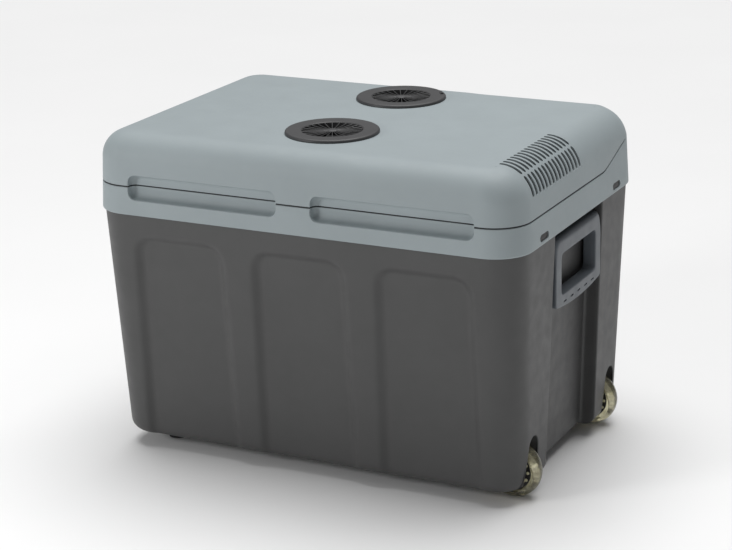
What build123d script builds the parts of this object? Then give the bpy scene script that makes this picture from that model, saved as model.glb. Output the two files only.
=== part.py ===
from build123d import *
from math import atan, degrees, radians, sin, tan
import os

# Wheeled thermoelectric cool box. Millimetres, +Z up, origin on the floor under the middle of the box.
# +X is the end with the wheels, -Y is the front, and the lid is hinged along the rear.

# ---- driving dimensions ----
LENGTH = 585.0  # over the collar's lower edge
DEPTH = 409.0
UNDERSIDE = 17.5  # underside of the cabinet above the floor
COLLAR_BASE = 322.8
SEAM = 358.7  # where lid and collar meet
LID_TOP = 422.9
SHELL_WALL = 2.5
LID_WALL = 3.0
GAP = 0.3  # between the lid and what it closes on

# cabinet
BODY_BOTTOM = (561.0, 362.0)
BODY_TOP = (578.0, 397.0)
BODY_CORNER = 41.0
BODY_FOOT_ROUND = 14.0
NECK = (570.0, 374.0)  # part of the cabinet that stands inside the collar
NECK_TOP = 350.0
PANEL_PITCH = 168.0
PANEL_WIDTHS = (134.0, 124.0)  # at the bottom and at the top
PANEL_TOP = 295.0
PANEL_DEPTH = 5.5
PANEL_SLOPE_RUN = 10.0
PANEL_CORNER = 22.0
BAY_FRONT = (-88.0, -79.0)  # front wall of the handle bays, at the underside and under the collar
BAY_REAR = (78.5, 79.5)
BAY_DEPTH = 20.0

# liner
LINER_TOP = (464.0, 312.0)
LINER_BOTTOM = (412.0, 280.0)
LINER_FLOOR = 66.0
LINER_CORNER = 30.0
LINER_WALL = 2.0
FOAM_CORNER = 3.0  # the foam's own cavity has tighter corners than the liner
RIM_WIDTH = 12.0

# collar and lid
COLLAR_CORNER = 48.0
DRAFT = 3.13  # degrees, sides of collar and lid lean in
LID_EDGE = 34.0
FLANGE_Z = 351.7
FLANGE_THICK = 3.0
CHEEK_START_Y = 82.5
CHEEK_SLOPE = 0.31
GRIP_X = 129.0
GRIP_SIZE = (211.0, 31.5)
GRIP_Z = 358.75
GRIP_CORNER = 10.0
GRIP_FLOOR_Y = -191.5
GRIP_WALL = 2.5
CLIP_Y = 121.5
CLIP_SIZE = (25.0, 8.5)
CLIP_Z = 332.0

# hinge
HINGE_Y = 199.5
HINGE_Z = 394.0
HINGE_RADIUS = 5.0
HINGE_LENGTH = 484.0
HINGE_CUT_LENGTH = 510.0  # relief in the lid, past the barrel's ends
HINGE_PIN_RADIUS = 2.0
KNUCKLE_X = 150.0
KNUCKLE_LENGTH = 34.0
RUNNING = 0.05  # radial clearance of a running fit

# lid interior
FLANGE_TOP = SEAM + 3.0
PLUG = (448.0, 298.0)
PLUG_BOTTOM = 336.0
PLUG_WALL = 2.5
PLUG_CORNER = 28.0
FOAM_TOP = 374.0
FOAM_FRONT_Y = -188.6  # behind the finger grips
FOAM_LEFT_X = -267.5  # behind the inlets
BOSS_PLACES = [(x, y) for x in (-255, 255) for y in (-145, 0, 145)]
BOSS_RADIUS = 5.0
LID_SCREW = (1.6, 3.2)  # radius of shank and head

# cooling units, one under each round grille
UNIT_X = -4.5
UNITS = {"front": -86.0, "rear": 109.0}  # centres of the round grilles
COLD_Y = {"front": -86.0, "rear": 98.0}  # the rear cold side sits forward, clear of the plug wall
DISC_RADIUS = 59.0
DISC_THICK = 4.1
DISC_BOSS_RADIUS = 49.0
GRILLE_RADIUS = 38.0
GRILLE_RIBS = 30
RIB_HEIGHT = 6.0
TAB_PLACE = (52.6, 34.0)  # radius and angle of the small raised tab on the rear grille
TAB_SIZE = (6.0, 12.0, 2.0)
HOT_FAN = 92.0
HOT_FAN_THICK = 15.0
COLD_FAN = 80.0
COLD_FAN_THICK = 10.4
SHAFT_RADIUS = 1.5
GUARD_RADIUS = 43.0
GUARD_SLOTS = (13, 19, 25, 31)  # radii of the round slots
HOT_SINK = (100.0, 378.0, 400.0, 14)  # side, underside, top and number of fins
COLD_SINK = (90.0, 350.0, 364.0, 12)
FIN_HALF = 0.75

# vents
VENT_COUNT = 15
VENT_PITCH = 10.5
VENT_WIDTH = 3.8
VENT_FIRST_Y = -146.5

# handles
HANDLE_WIDTH = 150.0
HANDLE_THICK = 17.0
HANDLE_FACE_X = 288.5
HANDLE_TOP = 312.5
HANDLE_CORNER_Z = 226.5
HANDLE_LOW = 220.2
HANDLE_CORNERS = (4.0, 10.0)  # at the bottom and at the top
WINDOW = (114.5, 52.5)
WINDOW_Z = 264.8
PIVOT_X = HANDLE_FACE_X - HANDLE_THICK / 2
PIVOT_Z = HANDLE_TOP - HANDLE_THICK / 2
PIVOT_RADIUS = 3.0
PIVOT_REACH = 92.5  # outer ends of the pivot pins

# wheels
WHEEL_RADIUS = 36.0
WHEEL_WIDTH = 24.0
WHEEL_X = 256.5
WHEEL_Y = 130.5
HUB_RADIUS = 22.0
BEARING = (11.0, 4.0, 7.0)  # outer radius, bore radius, width
WELL_HALF = 14.5
WELL_INNER_X = 214.0
WELL_APEX = 81.5
AXLE_LENGTH = 44.0

# inlets at the end without wheels
INLET_X = -290.0
INLET_Z = 373.0
INLET_PANEL = (96.0, 20.0)
INLET_DEPTH = 20.0
INLETS = {"mains": (-22.0, 24.0, 15.0), "battery": (12.0, 20.0, 13.0)}  # place along Y, width, height
SWITCH_Y = 36.0
SWITCH_SIZE = (18.0, 12.0)
LAMP_PLACES = (-40.0, -44.5)

# feet
FOOT_PLACES = [(-226.0, -125.0), (-226.0, 125.0)]
FOOT_RADIUS = 14.0
FOOT_TAPER = -4.0  # degrees
FOOT_SCREW = (2.0, 4.2)  # radius of shank and head


def rounded(width, depth, radius, z, x=0.0, y=0.0):
    """Rounded rectangle lying at height z."""
    return Pos(x, y, z) * RectangleRounded(width, depth, radius)


def frustum(low, high, z_low, z_high, radius_low, radius_high):
    """Straight-sided block between two rounded rectangles."""
    return loft([rounded(*low, radius_low, z_low), rounded(*high, radius_high, z_high)], ruled=True)


def block(x0, x1, y0, y1, z0, z1):
    """Box between two corners."""
    return Pos((x0 + x1) / 2, (y0 + y1) / 2, (z0 + z1) / 2) * Box(x1 - x0, y1 - y0, z1 - z0)


def rod_x(radius, length, x, y, z):
    """Cylinder along X, centred."""
    return Pos(x, y, z) * Rot(0, 90, 0) * Cylinder(radius, length)


def rod_y(radius, length, x, y, z):
    """Cylinder along Y, centred."""
    return Pos(x, y, z) * Rot(90, 0, 0) * Cylinder(radius, length)


def disc(radius, z0, z1, x=0.0, y=0.0):
    """Cylinder along Z between two heights."""
    return Pos(x, y, (z0 + z1) / 2) * Cylinder(radius, z1 - z0)


# ---- outlines shared by several pieces ----


def upper_form(inset, z0, z1):
    """The block that collar and lid are cut from, leaning in by the draft."""
    lean = (z0 - COLLAR_BASE) * tan(radians(DRAFT)) + inset
    outline = rounded(LENGTH - 2 * lean, DEPTH - 2 * lean, COLLAR_CORNER - lean, z0)
    return extrude(outline, z1 - z0, taper=DRAFT)


def lid_form(inset, z0=SEAM):
    """The lid's outer form, its top edge rounded all round."""
    form = upper_form(inset, z0, LID_TOP - inset)
    top_edges = form.faces().sort_by(Axis.Z)[-1].edges()
    return fillet(top_edges, LID_EDGE - inset)


def panel_cutter(grow, side):
    """One recessed panel, its walls sloping, open at the bottom edge. side is -1 at the front."""
    lean = degrees(atan((BODY_TOP[1] - BODY_BOTTOM[1]) / 2 / (COLLAR_BASE - UNDERSIDE)))
    height = PANEL_TOP - UNDERSIDE

    def outline(shrink, radius):
        low = PANEL_WIDTHS[0] / 2 + grow - shrink
        high = PANEL_WIDTHS[1] / 2 + grow - shrink
        top = height + grow - shrink
        corners = [(-low, -40), (low, -40), (high, top), (-high, top)]
        sketch = make_face(Polyline(*corners, close=True))
        return fillet(sketch.vertices().sort_by(Axis.Y)[-2:], radius)

    outer = Pos(0, 0, 1) * outline(-1.5, PANEL_CORNER + 1.5)
    inner = Pos(0, 0, -PANEL_DEPTH - grow) * outline(PANEL_SLOPE_RUN, PANEL_CORNER - PANEL_SLOPE_RUN)
    cutter = loft([outer, inner], ruled=True)
    upright = Rot(90 + lean, 0, 0) * cutter
    placed = Pos(0, -BODY_BOTTOM[1] / 2, UNDERSIDE) * upright
    return placed if side < 0 else Rot(0, 0, 180) * placed


def bay_cutter(grow, side):
    """Handle bay in one end, from the collar down through the underside."""
    low = BODY_BOTTOM[0] / 2 - BAY_DEPTH - grow
    high = BODY_TOP[0] / 2 - BAY_DEPTH - grow
    top = COLLAR_BASE - 0.5 + grow
    corners = [(low, UNDERSIDE), (320, UNDERSIDE), (320, top), (high, top)]
    profile = Plane.XZ * make_face(Polyline(*corners, close=True))
    walls = [(BAY_FRONT[0] - grow, UNDERSIDE), (BAY_REAR[0] + grow, UNDERSIDE)]
    walls += [(BAY_REAR[1] + grow, top), (BAY_FRONT[1] - grow, top)]
    width = extrude(Plane.YZ * make_face(Polyline(*walls, close=True)), 330)
    cutter = extrude(profile, 100, both=True) & width
    return cutter if side > 0 else mirror(cutter, Plane.YZ)


def well_cutter(grow, y):
    """Arched wheel well, open at the end face and underneath."""
    half = WELL_HALF + grow
    arch_z = WELL_APEX - WELL_HALF
    slot = block(WELL_INNER_X - grow, 320, y - half, y + half, 0, arch_z)
    crown = rod_x(half, 320 - WELL_INNER_X + grow, (320 + WELL_INNER_X - grow) / 2, y, arch_z)
    return slot + crown


def body_form(inset):
    """Solid cabinet outline. An inset above zero gives the space inside the wall."""
    low = [size - 2 * inset for size in BODY_BOTTOM]
    high = [size - 2 * inset for size in BODY_TOP]
    shoulder = COLLAR_BASE - 0.5 - inset
    corner = BODY_CORNER - inset
    form = frustum(low, high, UNDERSIDE + inset, shoulder, corner, corner)
    bottom_edges = form.faces().sort_by(Axis.Z)[0].edges()
    form = fillet(bottom_edges, BODY_FOOT_ROUND - inset)
    neck = rounded(NECK[0] - 2 * inset, NECK[1] - 2 * inset, corner, shoulder - 10)
    form += extrude(neck, NECK_TOP - shoulder + 10)
    for side in (-1, 1):
        for column in (-1, 0, 1):
            form -= Pos(column * PANEL_PITCH, 0, 0) * panel_cutter(inset, side)
        form -= bay_cutter(inset, side)
        form -= well_cutter(inset, side * WHEEL_Y)
    return form


def liner_form(grow, corner=LINER_CORNER):
    """Outside of the liner, enlarged by grow."""
    low = [size + 2 * grow for size in LINER_BOTTOM]
    high = [size + 2 * grow for size in LINER_TOP]
    return frustum(low, high, LINER_FLOOR - grow, NECK_TOP, corner + grow, corner + grow)


def axles(radius, length):
    """The two wheel axles, along Y."""
    return [rod_y(radius, length, WHEEL_X, side * WHEEL_Y, WHEEL_RADIUS) for side in (-1, 1)]


def pivots(radius):
    """Four stub pins in the sides of the handle bays."""
    inner = HANDLE_WIDTH / 2 - 8
    outer = PIVOT_REACH
    pins = []
    for x in (-PIVOT_X, PIVOT_X):
        for side in (-1, 1):
            pins.append(rod_y(radius, outer - inner, x, side * (inner + outer) / 2, PIVOT_Z))
    return pins


def foot_screw_rods(radius):
    """Shanks of the foot screws."""
    return [disc(radius, 6, UNDERSIDE + 14, x, y) for x, y in FOOT_PLACES]


# ---- cabinet ----


def outer_shell():
    shell = body_form(0) - body_form(SHELL_WALL)
    shell -= block(-300, 300, -210, 210, NECK_TOP - 0.1, NECK_TOP + 20)
    for cutter in axles(4.0, AXLE_LENGTH) + pivots(PIVOT_RADIUS) + foot_screw_rods(2.0):
        shell -= cutter
    return shell


def cabinet_foam():
    foam = body_form(SHELL_WALL + 0.1) - liner_form(0.1, FOAM_CORNER)
    for cutter in axles(4.2, AXLE_LENGTH + 1) + pivots(PIVOT_RADIUS + 0.2) + foot_screw_rods(2.2):
        foam -= cutter
    return foam


def inner_liner():
    low = [size - 2 * LINER_WALL for size in LINER_BOTTOM]
    high = [size - 2 * LINER_WALL for size in LINER_TOP]
    corner = LINER_CORNER - LINER_WALL
    rim_high = FLANGE_Z - 0.1
    liner = liner_form(0)
    rim = rounded(LINER_TOP[0] + 2 * RIM_WIDTH, LINER_TOP[1] + 2 * RIM_WIDTH, LINER_CORNER, NECK_TOP)
    liner += extrude(rim, rim_high - NECK_TOP)
    liner -= frustum(low, high, LINER_FLOOR + LINER_WALL, NECK_TOP, corner, corner)
    mouth = rounded(*high, corner, NECK_TOP - 1)
    liner -= extrude(mouth, 10)
    liner -= block(-300, 300, -210, 210, rim_high, rim_high + 20)
    return liner


def grip_cutter(grow, x):
    """Finger grip across the seam, sunk into the front."""
    outline = RectangleRounded(GRIP_SIZE[0] + 2 * grow, GRIP_SIZE[1] + 2 * grow, GRIP_CORNER + grow)
    depth = GRIP_FLOOR_Y + grow + DEPTH / 2 + 10
    placed = Plane((x, -DEPTH / 2 - 10, GRIP_Z), x_dir=(1, 0, 0), z_dir=(0, 1, 0)) * outline
    return extrude(placed, depth)


def cheek_wedge(lift):
    """Space under the seam where it climbs towards the hinge."""
    reach = 210.0
    top = SEAM + CHEEK_SLOPE * (reach - CHEEK_START_Y)
    corners = [(CHEEK_START_Y, SEAM - 1), (reach, SEAM - 1)]
    corners += [(reach, top + lift), (CHEEK_START_Y, SEAM + lift)]
    profile = Plane.YZ * make_face(Polyline(*corners, close=True))
    return extrude(profile, 310, both=True)


def knuckle_places():
    """Centres of the lid's hinge knuckles along X."""
    return [-KNUCKLE_X, KNUCKLE_X]


def clip_block(x0, x1, y, shrink):
    """Oblong block through the collar's end wall."""
    half = CLIP_SIZE[0] / 2 - shrink
    tall = CLIP_SIZE[1] / 2 - shrink
    return block(x0, x1, y - half, y + half, CLIP_Z - tall, CLIP_Z + tall)


def collar():
    ring = upper_form(0, COLLAR_BASE, SEAM - GAP) - upper_form(LID_WALL, COLLAR_BASE - 1, SEAM + 1)
    flange = upper_form(LID_WALL - 1, FLANGE_Z, FLANGE_Z + FLANGE_THICK)
    opening = (LINER_TOP[0] - 2 * LINER_WALL, LINER_TOP[1] - 2 * LINER_WALL)
    flange -= extrude(rounded(*opening, LINER_CORNER - LINER_WALL, FLANGE_Z - 1), 10)
    body = ring + flange
    for x in (-GRIP_X, GRIP_X):
        body += grip_cutter(GRIP_WALL, x) & upper_form(0, COLLAR_BASE, SEAM - GAP)
    cheeks = upper_form(0, SEAM - 1, HINGE_Z + 8) - upper_form(LID_WALL, SEAM - 2, HINGE_Z + 9)
    body += cheeks & cheek_wedge(0)
    barrel = rod_x(HINGE_RADIUS, HINGE_LENGTH, 0, HINGE_Y, HINGE_Z)
    barrel += block(-HINGE_LENGTH / 2, HINGE_LENGTH / 2, HINGE_Y - 2, HINGE_Y + 1, HINGE_Z - 16, HINGE_Z)
    body += barrel
    body -= rod_x(HINGE_PIN_RADIUS, HINGE_LENGTH + 2, 0, HINGE_Y, HINGE_Z)
    for x in knuckle_places():
        body -= rod_x(HINGE_RADIUS + 0.5, KNUCKLE_LENGTH + 1, x, HINGE_Y, HINGE_Z)
    for x in (-GRIP_X, GRIP_X):
        body -= grip_cutter(0, x)
    for y in (-CLIP_Y, CLIP_Y):
        body -= clip_block(280, 300, y, 0)
        body -= clip_block(-300, -280, y, 0)
    return body


def collar_clips():
    clips = []
    for y in (-CLIP_Y, CLIP_Y):
        clips.append(clip_block(285.1, 290.2, y, 0.2))
        clips.append(clip_block(-290.2, -285.1, y, 0.2))
    return clips


def hinge_pins():
    length = KNUCKLE_LENGTH + 40
    return [rod_x(HINGE_PIN_RADIUS, length, x, HINGE_Y, HINGE_Z) for x in knuckle_places()]


def wheel_axles():
    return axles(4.0, AXLE_LENGTH)


def feet():
    pads = []
    for x, y in FOOT_PLACES:
        pad = Pos(x, y, 0) * extrude(Circle(FOOT_RADIUS), UNDERSIDE, taper=FOOT_TAPER)
        pad -= disc(FOOT_SCREW[1] + 0.3, -1, 4, x, y) + disc(FOOT_SCREW[0], -1, UNDERSIDE + 1, x, y)
        pads.append(pad)
    return pads


def foot_screws():
    shank, head = FOOT_SCREW
    return [disc(shank, 4, UNDERSIDE + 12, x, y) + disc(head, 1.5, 4, x, y) for x, y in FOOT_PLACES]


# ---- handles and wheels ----


def handle(side):
    half = HANDLE_WIDTH / 2
    edge = Line((-half, HANDLE_CORNER_Z), (-half, HANDLE_TOP))
    edge += Line((-half, HANDLE_TOP), (half, HANDLE_TOP))
    edge += Line((half, HANDLE_TOP), (half, HANDLE_CORNER_Z))
    edge += ThreePointArc((half, HANDLE_CORNER_Z), (0, HANDLE_LOW), (-half, HANDLE_CORNER_Z))
    outline = make_face(edge)
    outline = fillet(outline.vertices().sort_by(Axis.Y)[:2], HANDLE_CORNERS[0])
    outline = fillet(outline.vertices().sort_by(Axis.Y)[-2:], HANDLE_CORNERS[1])
    window = Pos(0, WINDOW_Z) * RectangleRounded(*WINDOW, 8)
    plate = extrude(Plane.YZ.offset(HANDLE_FACE_X - HANDLE_THICK) * outline, HANDLE_THICK)
    top = plate.edges().filter_by(Axis.Y).group_by(Axis.Z)[-1]
    plate = fillet(top, HANDLE_THICK / 2 - 0.1)
    plate -= extrude(Plane.YZ.offset(HANDLE_FACE_X - HANDLE_THICK - 1) * window, HANDLE_THICK + 2)
    plate -= rod_y(PIVOT_RADIUS + RUNNING, 16.2, PIVOT_X, half, PIVOT_Z)
    plate -= rod_y(PIVOT_RADIUS + RUNNING, 16.2, PIVOT_X, -half, PIVOT_Z)
    for step in range(-2, 3):
        plate -= Pos(HANDLE_FACE_X, step * 23, 229) * Box(1.6, 9, 2.5)
    return plate if side > 0 else mirror(plate, Plane.YZ)


def tyre(y):
    section = Pos(WHEEL_RADIUS - WHEEL_WIDTH / 2) * RectangleRounded(WHEEL_WIDTH, WHEEL_WIDTH, 11.9)
    tread = WHEEL_RADIUS - HUB_RADIUS
    half = section & (Pos(WHEEL_RADIUS - tread / 2) * Rectangle(tread, WHEEL_WIDTH))
    ring = revolve(Plane.XZ * half, Axis.Z)
    return Pos(WHEEL_X, y, WHEEL_RADIUS) * Rot(90, 0, 0) * ring


def hub(y):
    body = Cylinder(HUB_RADIUS, 18)
    outer, _, width = BEARING
    for side in (-1, 1):
        body -= Pos(0, 0, side * (9 - width / 2)) * Cylinder(outer, width)
    body -= Cylinder(6, 20)
    for step in range(6):
        body -= Rot(0, 0, 60 * step + 30) * Pos(16.5, 0, 0) * Cylinder(3.2, 20)
    return Pos(WHEEL_X, y, WHEEL_RADIUS) * Rot(90, 0, 0) * body


def bearings(y):
    outer, bore, width = BEARING
    rings = []
    for side in (-1, 1):
        ring = Cylinder(outer, width) - Cylinder(bore + RUNNING, width + 1)
        offset = side * (9 - width / 2)
        rings.append(Pos(WHEEL_X, y + offset, WHEEL_RADIUS) * Rot(90, 0, 0) * ring)
    return rings


# ---- lid ----


def vent_cutters():
    """Two rows of slots over the lid's edge above the wheels."""
    cutters = []
    for step in range(VENT_COUNT):
        y = VENT_FIRST_Y + step * VENT_PITCH
        y0 = y - VENT_WIDTH / 2
        y1 = y + VENT_WIDTH / 2
        cutters.append(block(248.5, 274.5, y0, y1, 405, 430))
        cutters.append(block(270, 296, y0, y1, 387, 410.5))
    return cutters


def lid_shell():
    outer = lid_form(0, SEAM + GAP)
    shell = outer - lid_form(LID_WALL, SEAM - 1)
    for x in (-GRIP_X, GRIP_X):
        shell += grip_cutter(GRIP_WALL, x) & outer
    for x, y in BOSS_PLACES:
        shell += disc(BOSS_RADIUS, FLANGE_TOP + 0.1, LID_TOP, x, y) & lid_form(1)
    for x in (-GRIP_X, GRIP_X):
        shell -= grip_cutter(0, x)
    shell -= cheek_wedge(0.6) - upper_form(4, SEAM - 2, HINGE_Z + 9)
    for x, y in BOSS_PLACES:
        shell -= disc(LID_SCREW[0], FLANGE_TOP, FLANGE_TOP + 13, x, y)
    for y in UNITS.values():
        shell -= disc(DISC_BOSS_RADIUS + 0.3, LID_TOP - 20, LID_TOP + 5, UNIT_X, y)
    for cutter in vent_cutters():
        shell -= cutter
    half_y = INLET_PANEL[0] / 2 + 0.3
    half_z = INLET_PANEL[1] / 2 + 0.3
    shell -= block(-300, -280, -half_y, half_y, INLET_Z - half_z, INLET_Z + half_z)
    shell -= rod_x(HINGE_RADIUS + 0.5, HINGE_CUT_LENGTH, 0, HINGE_Y, HINGE_Z)
    for x in knuckle_places():
        shell += lid_knuckle(x)
    return shell


def lid_knuckle(x):
    knuckle = rod_x(HINGE_RADIUS, KNUCKLE_LENGTH, x, HINGE_Y, HINGE_Z)
    half = KNUCKLE_LENGTH / 2
    knuckle += block(x - half, x + half, HINGE_Y - 5, HINGE_Y - 0.5, HINGE_Z, HINGE_Z + 9)
    return knuckle - rod_x(HINGE_PIN_RADIUS + RUNNING, KNUCKLE_LENGTH + 2, x, HINGE_Y, HINGE_Z)


def plug_form(inset, z_top):
    """Block that reaches down into the cabinet's mouth."""
    outline = rounded(PLUG[0] - 2 * inset, PLUG[1] - 2 * inset, PLUG_CORNER - inset, z_top)
    return extrude(outline, -(z_top - PLUG_BOTTOM - inset), taper=2)


def lid_liner():
    flange = upper_form(LID_WALL + 1.1, SEAM + 0.5, FLANGE_TOP)
    body = flange + plug_form(0, SEAM + 1) - plug_form(PLUG_WALL, FLANGE_TOP + 1)
    skirt = upper_form(LID_WALL + 1.1, FLANGE_TOP - 1, 400) - upper_form(LID_WALL + 3, FLANGE_TOP - 2, 401)
    body += skirt & cheek_wedge(2)
    body -= rod_x(HINGE_RADIUS + 0.6, HINGE_CUT_LENGTH, 0, HINGE_Y, HINGE_Z)
    for x in (-GRIP_X, GRIP_X):
        body -= grip_cutter(GRIP_WALL + 0.2, x)
    for y in COLD_Y.values():
        body -= disc(GRILLE_RADIUS, PLUG_BOTTOM - 1, PLUG_BOTTOM + 5, UNIT_X, y)
    for x, y in BOSS_PLACES:
        body -= disc(1.9, SEAM, FLANGE_TOP + 1, x, y)
    return body


def lid_gasket():
    z0 = FLANGE_Z + FLANGE_THICK + GAP
    ring = extrude(rounded(490, 338, 36, z0), SEAM + 0.5 - z0)
    return ring - extrude(rounded(474, 322, 29, z0 - 1), 20)


def lid_foam():
    foam = plug_form(PLUG_WALL + 0.1, FLANGE_TOP + 1)
    room = block(FOAM_LEFT_X, 300, FOAM_FRONT_Y, 210, SEAM, FOAM_TOP + 1)
    foam += upper_form(9, FLANGE_TOP + 0.1, FOAM_TOP) & room
    for x, y in BOSS_PLACES:
        foam -= disc(BOSS_RADIUS + 0.2, FLANGE_TOP - 1, FOAM_TOP + 1, x, y)
    for y in COLD_Y.values():
        foam -= block(UNIT_X - 47, UNIT_X + 47, y - 47, y + 47, PLUG_BOTTOM, 364.2)
    for y in UNITS.values():
        foam -= block(UNIT_X - 22.2, UNIT_X + 22.2, y - 22.2, y + 22.2, 360, FOAM_TOP + 1)
    return foam


def lid_screws():
    screws = []
    shank, head = LID_SCREW
    for x, y in BOSS_PLACES:
        screw = disc(shank, SEAM + 0.5, FLANGE_TOP + 12, x, y)
        screws.append(screw + disc(head, SEAM - 1.2, SEAM + 0.5, x, y))
    return screws


def grille_tab():
    """Small raised tab near the rim."""
    deep, wide, tall = TAB_SIZE
    radius, angle = TAB_PLACE
    top = LID_TOP + DISC_THICK + tall
    return Rot(0, 0, angle) * Pos(radius, 0, top - tall) * Box(deep, wide, 2 * tall)


def fan_grille(y, tab=False):
    flange = disc(DISC_RADIUS, LID_TOP, LID_TOP + DISC_THICK)
    flange = fillet(flange.edges().group_by(Axis.Z)[-1], 2.6)
    body = flange + disc(DISC_BOSS_RADIUS, LID_TOP - 7, LID_TOP)
    body -= disc(GRILLE_RADIUS, LID_TOP - 10, LID_TOP + 10)
    rib_z = LID_TOP + 2.3 - RIB_HEIGHT / 2
    rib_length = GRILLE_RADIUS - 4
    for step in range(GRILLE_RIBS):
        rib = Pos(rib_length / 2 + 5, 0, rib_z) * Box(rib_length, 1.7, RIB_HEIGHT)
        body += Rot(0, 0, 360 / GRILLE_RIBS * step) * rib
    body += disc(8.5, rib_z - RIB_HEIGHT / 2, rib_z + RIB_HEIGHT / 2)
    if tab:
        body += grille_tab()
    return Pos(UNIT_X, y, 0) * body


def fan_frame(size, thick, duct, hub_radius):
    """Square fan frame with a hub plate, struts and a bearing tube, standing on z = 0."""
    frame = extrude(RectangleRounded(size, size, 5), thick) - disc(duct, -1, thick + 1)
    frame += disc(hub_radius, 0, 1.5)
    for step in range(4):
        strut = Pos((duct + hub_radius) / 2, 0, 0.75) * Box(duct - hub_radius + 6, 4, 1.5)
        frame += Rot(0, 0, 90 * step + 45) * strut
    frame += disc(4.0, 1.0, thick - 3.5)
    return frame - disc(SHAFT_RADIUS + RUNNING, 1.0, thick)


def fan_rotor(thick, duct, hub_radius, blades):
    """Cup hub with pitched blades on a shaft, in the same place as its frame."""
    top = thick - 0.8
    cup = disc(hub_radius, 2.6, top) - disc(hub_radius - 1.5, 2.0, top - 1.8)
    rotor = cup + disc(SHAFT_RADIUS, 1.2, top - 1)
    length = duct - 1.5 - hub_radius + 1
    chord = (thick - 5) / sin(radians(38))
    for step in range(blades):
        blade = Rot(38, 0, 0) * Box(length, chord, 1.3)
        rotor += Rot(0, 0, 360 / blades * step) * Pos(hub_radius - 1 + length / 2, 0, thick / 2 + 0.5) * blade
    return rotor


def finned(size, y, plate_z0, plate_z1):
    """Heat sink with its plate between two heights and fins over the rest."""
    side, low, high, fins = size
    half = side / 2
    first = UNIT_X - half + 2 * FIN_HALF
    pitch = (side - 4 * FIN_HALF) / (fins - 1)
    sink = block(UNIT_X - half, UNIT_X + half, y - half, y + half, plate_z0, plate_z1)
    for step in range(fins):
        x = first + step * pitch
        sink += block(x - FIN_HALF, x + FIN_HALF, y - half, y + half, low, high)
    return sink


def hot_sink(y):
    return finned(HOT_SINK, y, HOT_SINK[1], HOT_SINK[1] + 5)


def cold_sink(y):
    return finned(COLD_SINK, y, COLD_SINK[2] - 3, COLD_SINK[2])


def cold_fan_guard(y):
    guard = disc(GUARD_RADIUS, PLUG_BOTTOM - 2, PLUG_BOTTOM)
    guard += disc(GRILLE_RADIUS - 0.2, PLUG_BOTTOM - 0.5, PLUG_BOTTOM + 2)
    for radius in GUARD_SLOTS:
        slot = disc(radius + 2.2, PLUG_BOTTOM - 3, PLUG_BOTTOM + 3)
        guard -= slot - disc(radius - 2.2, PLUG_BOTTOM - 4, PLUG_BOTTOM + 4)
    for step in range(3):
        guard += Rot(0, 0, 60 * step) * Pos(0, 0, PLUG_BOTTOM) * Box(70, 3, 2.5)
    return Pos(UNIT_X, y, 0) * guard


def power_supply():
    supply = block(150, 240, -70, 50, 378, 379.6)
    supply += block(160, 198, -60, -16, 379, 402)
    supply += block(206, 210, -62, 40, 379, 399)
    for y in (-4, 16, 36):
        supply += disc(7, 379, 398, 172, y)
    supply += block(216, 232, -30, 20, 379, 390)
    for x in (155, 235):
        for y in (-65, 45):
            supply += disc(3, FOAM_TOP + 0.1, 378.5, x, y)
    return supply


def control_board():
    board = block(-246, -204, -30, 34, 378, 379.6)
    board += block(-238, -224, -12, 2, 379, 382)
    for y in (-22, 14, 26):
        board += disc(4, 379, 391, -213, y)
    for x in (-242, -208):
        for y in (-26, 30):
            board += disc(2.5, FOAM_TOP + 0.1, 378.5, x, y)
    return board


def tube(points, radius, bend):
    path = FilletPolyline(*points, radius=bend)
    return sweep(Plane(path @ 0, z_dir=path % 0) * Circle(radius), path=path)


def wiring_harness():
    main = tube([(-203.6, 10, 378.8), (-120, 10, 377), (20, 14, 377), (149.6, 0, 378.8)], 2.2, 60)
    to_front = tube([(-30, 7, 380.6), (-30, -12, 384), (-30, -26, 404), (-30, -39.6, 406)], 1.6, 8)
    to_rear = tube([(-30, 18, 380.6), (-30, 36, 384), (-30, 49, 404), (-30, 62.6, 406)], 1.6, 8)
    return [main, to_front, to_rear]


# ---- inlets and switch ----


def inlet_panel():
    half_y = INLET_PANEL[0] / 2
    half_z = INLET_PANEL[1] / 2
    panel = block(-300, -280, -half_y, half_y, INLET_Z - half_z, INLET_Z + half_z)
    panel = panel & (lid_form(0, SEAM + GAP) - lid_form(LID_WALL, SEAM - 1))
    for y, wide, tall in INLETS.values():
        panel -= block(-300, -280, y - wide / 2, y + wide / 2, INLET_Z - tall / 2, INLET_Z + tall / 2)
    panel -= inlet_block(-10, 10, SWITCH_Y, SWITCH_SIZE[0] / 2, SWITCH_SIZE[1] / 2)
    for y in LAMP_PLACES:
        panel -= rod_x(1.5, 30, -290, y, INLET_Z)
    return panel


def inlet_block(near, far, y, half_y, half_z):
    """Block at the height of the inlets, between two depths behind their face."""
    return block(INLET_X + near, INLET_X + far, y - half_y, y + half_y, INLET_Z - half_z, INLET_Z + half_z)


def inlet(y, wide, tall, pin_gap):
    """Recessed socket with two contact pins."""
    half_y = wide / 2 - 0.1
    half_z = tall / 2 - 0.1
    body = inlet_block(0, INLET_DEPTH, y, half_y, half_z)
    body -= inlet_block(-1, INLET_DEPTH - 6, y, half_y - 2, half_z - 2)
    for side in (-1, 1):
        body += rod_x(1.2, 12, INLET_X + 9, y + side * pin_gap, INLET_Z)
    return body


def switch_housing():
    half_y = SWITCH_SIZE[0] / 2 - 0.1
    half_z = SWITCH_SIZE[1] / 2 - 0.1
    body = inlet_block(0.6, 12, SWITCH_Y, half_y, half_z)
    return body - inlet_block(-1, 5, SWITCH_Y, half_y - 1.9, 2.5)


def switch_knob():
    knob = inlet_block(-1.4, 4.6, SWITCH_Y, 2.2, 2.2)
    return fillet(knob.edges().filter_by(Axis.Z).group_by(Axis.X)[0], 0.8)


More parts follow.
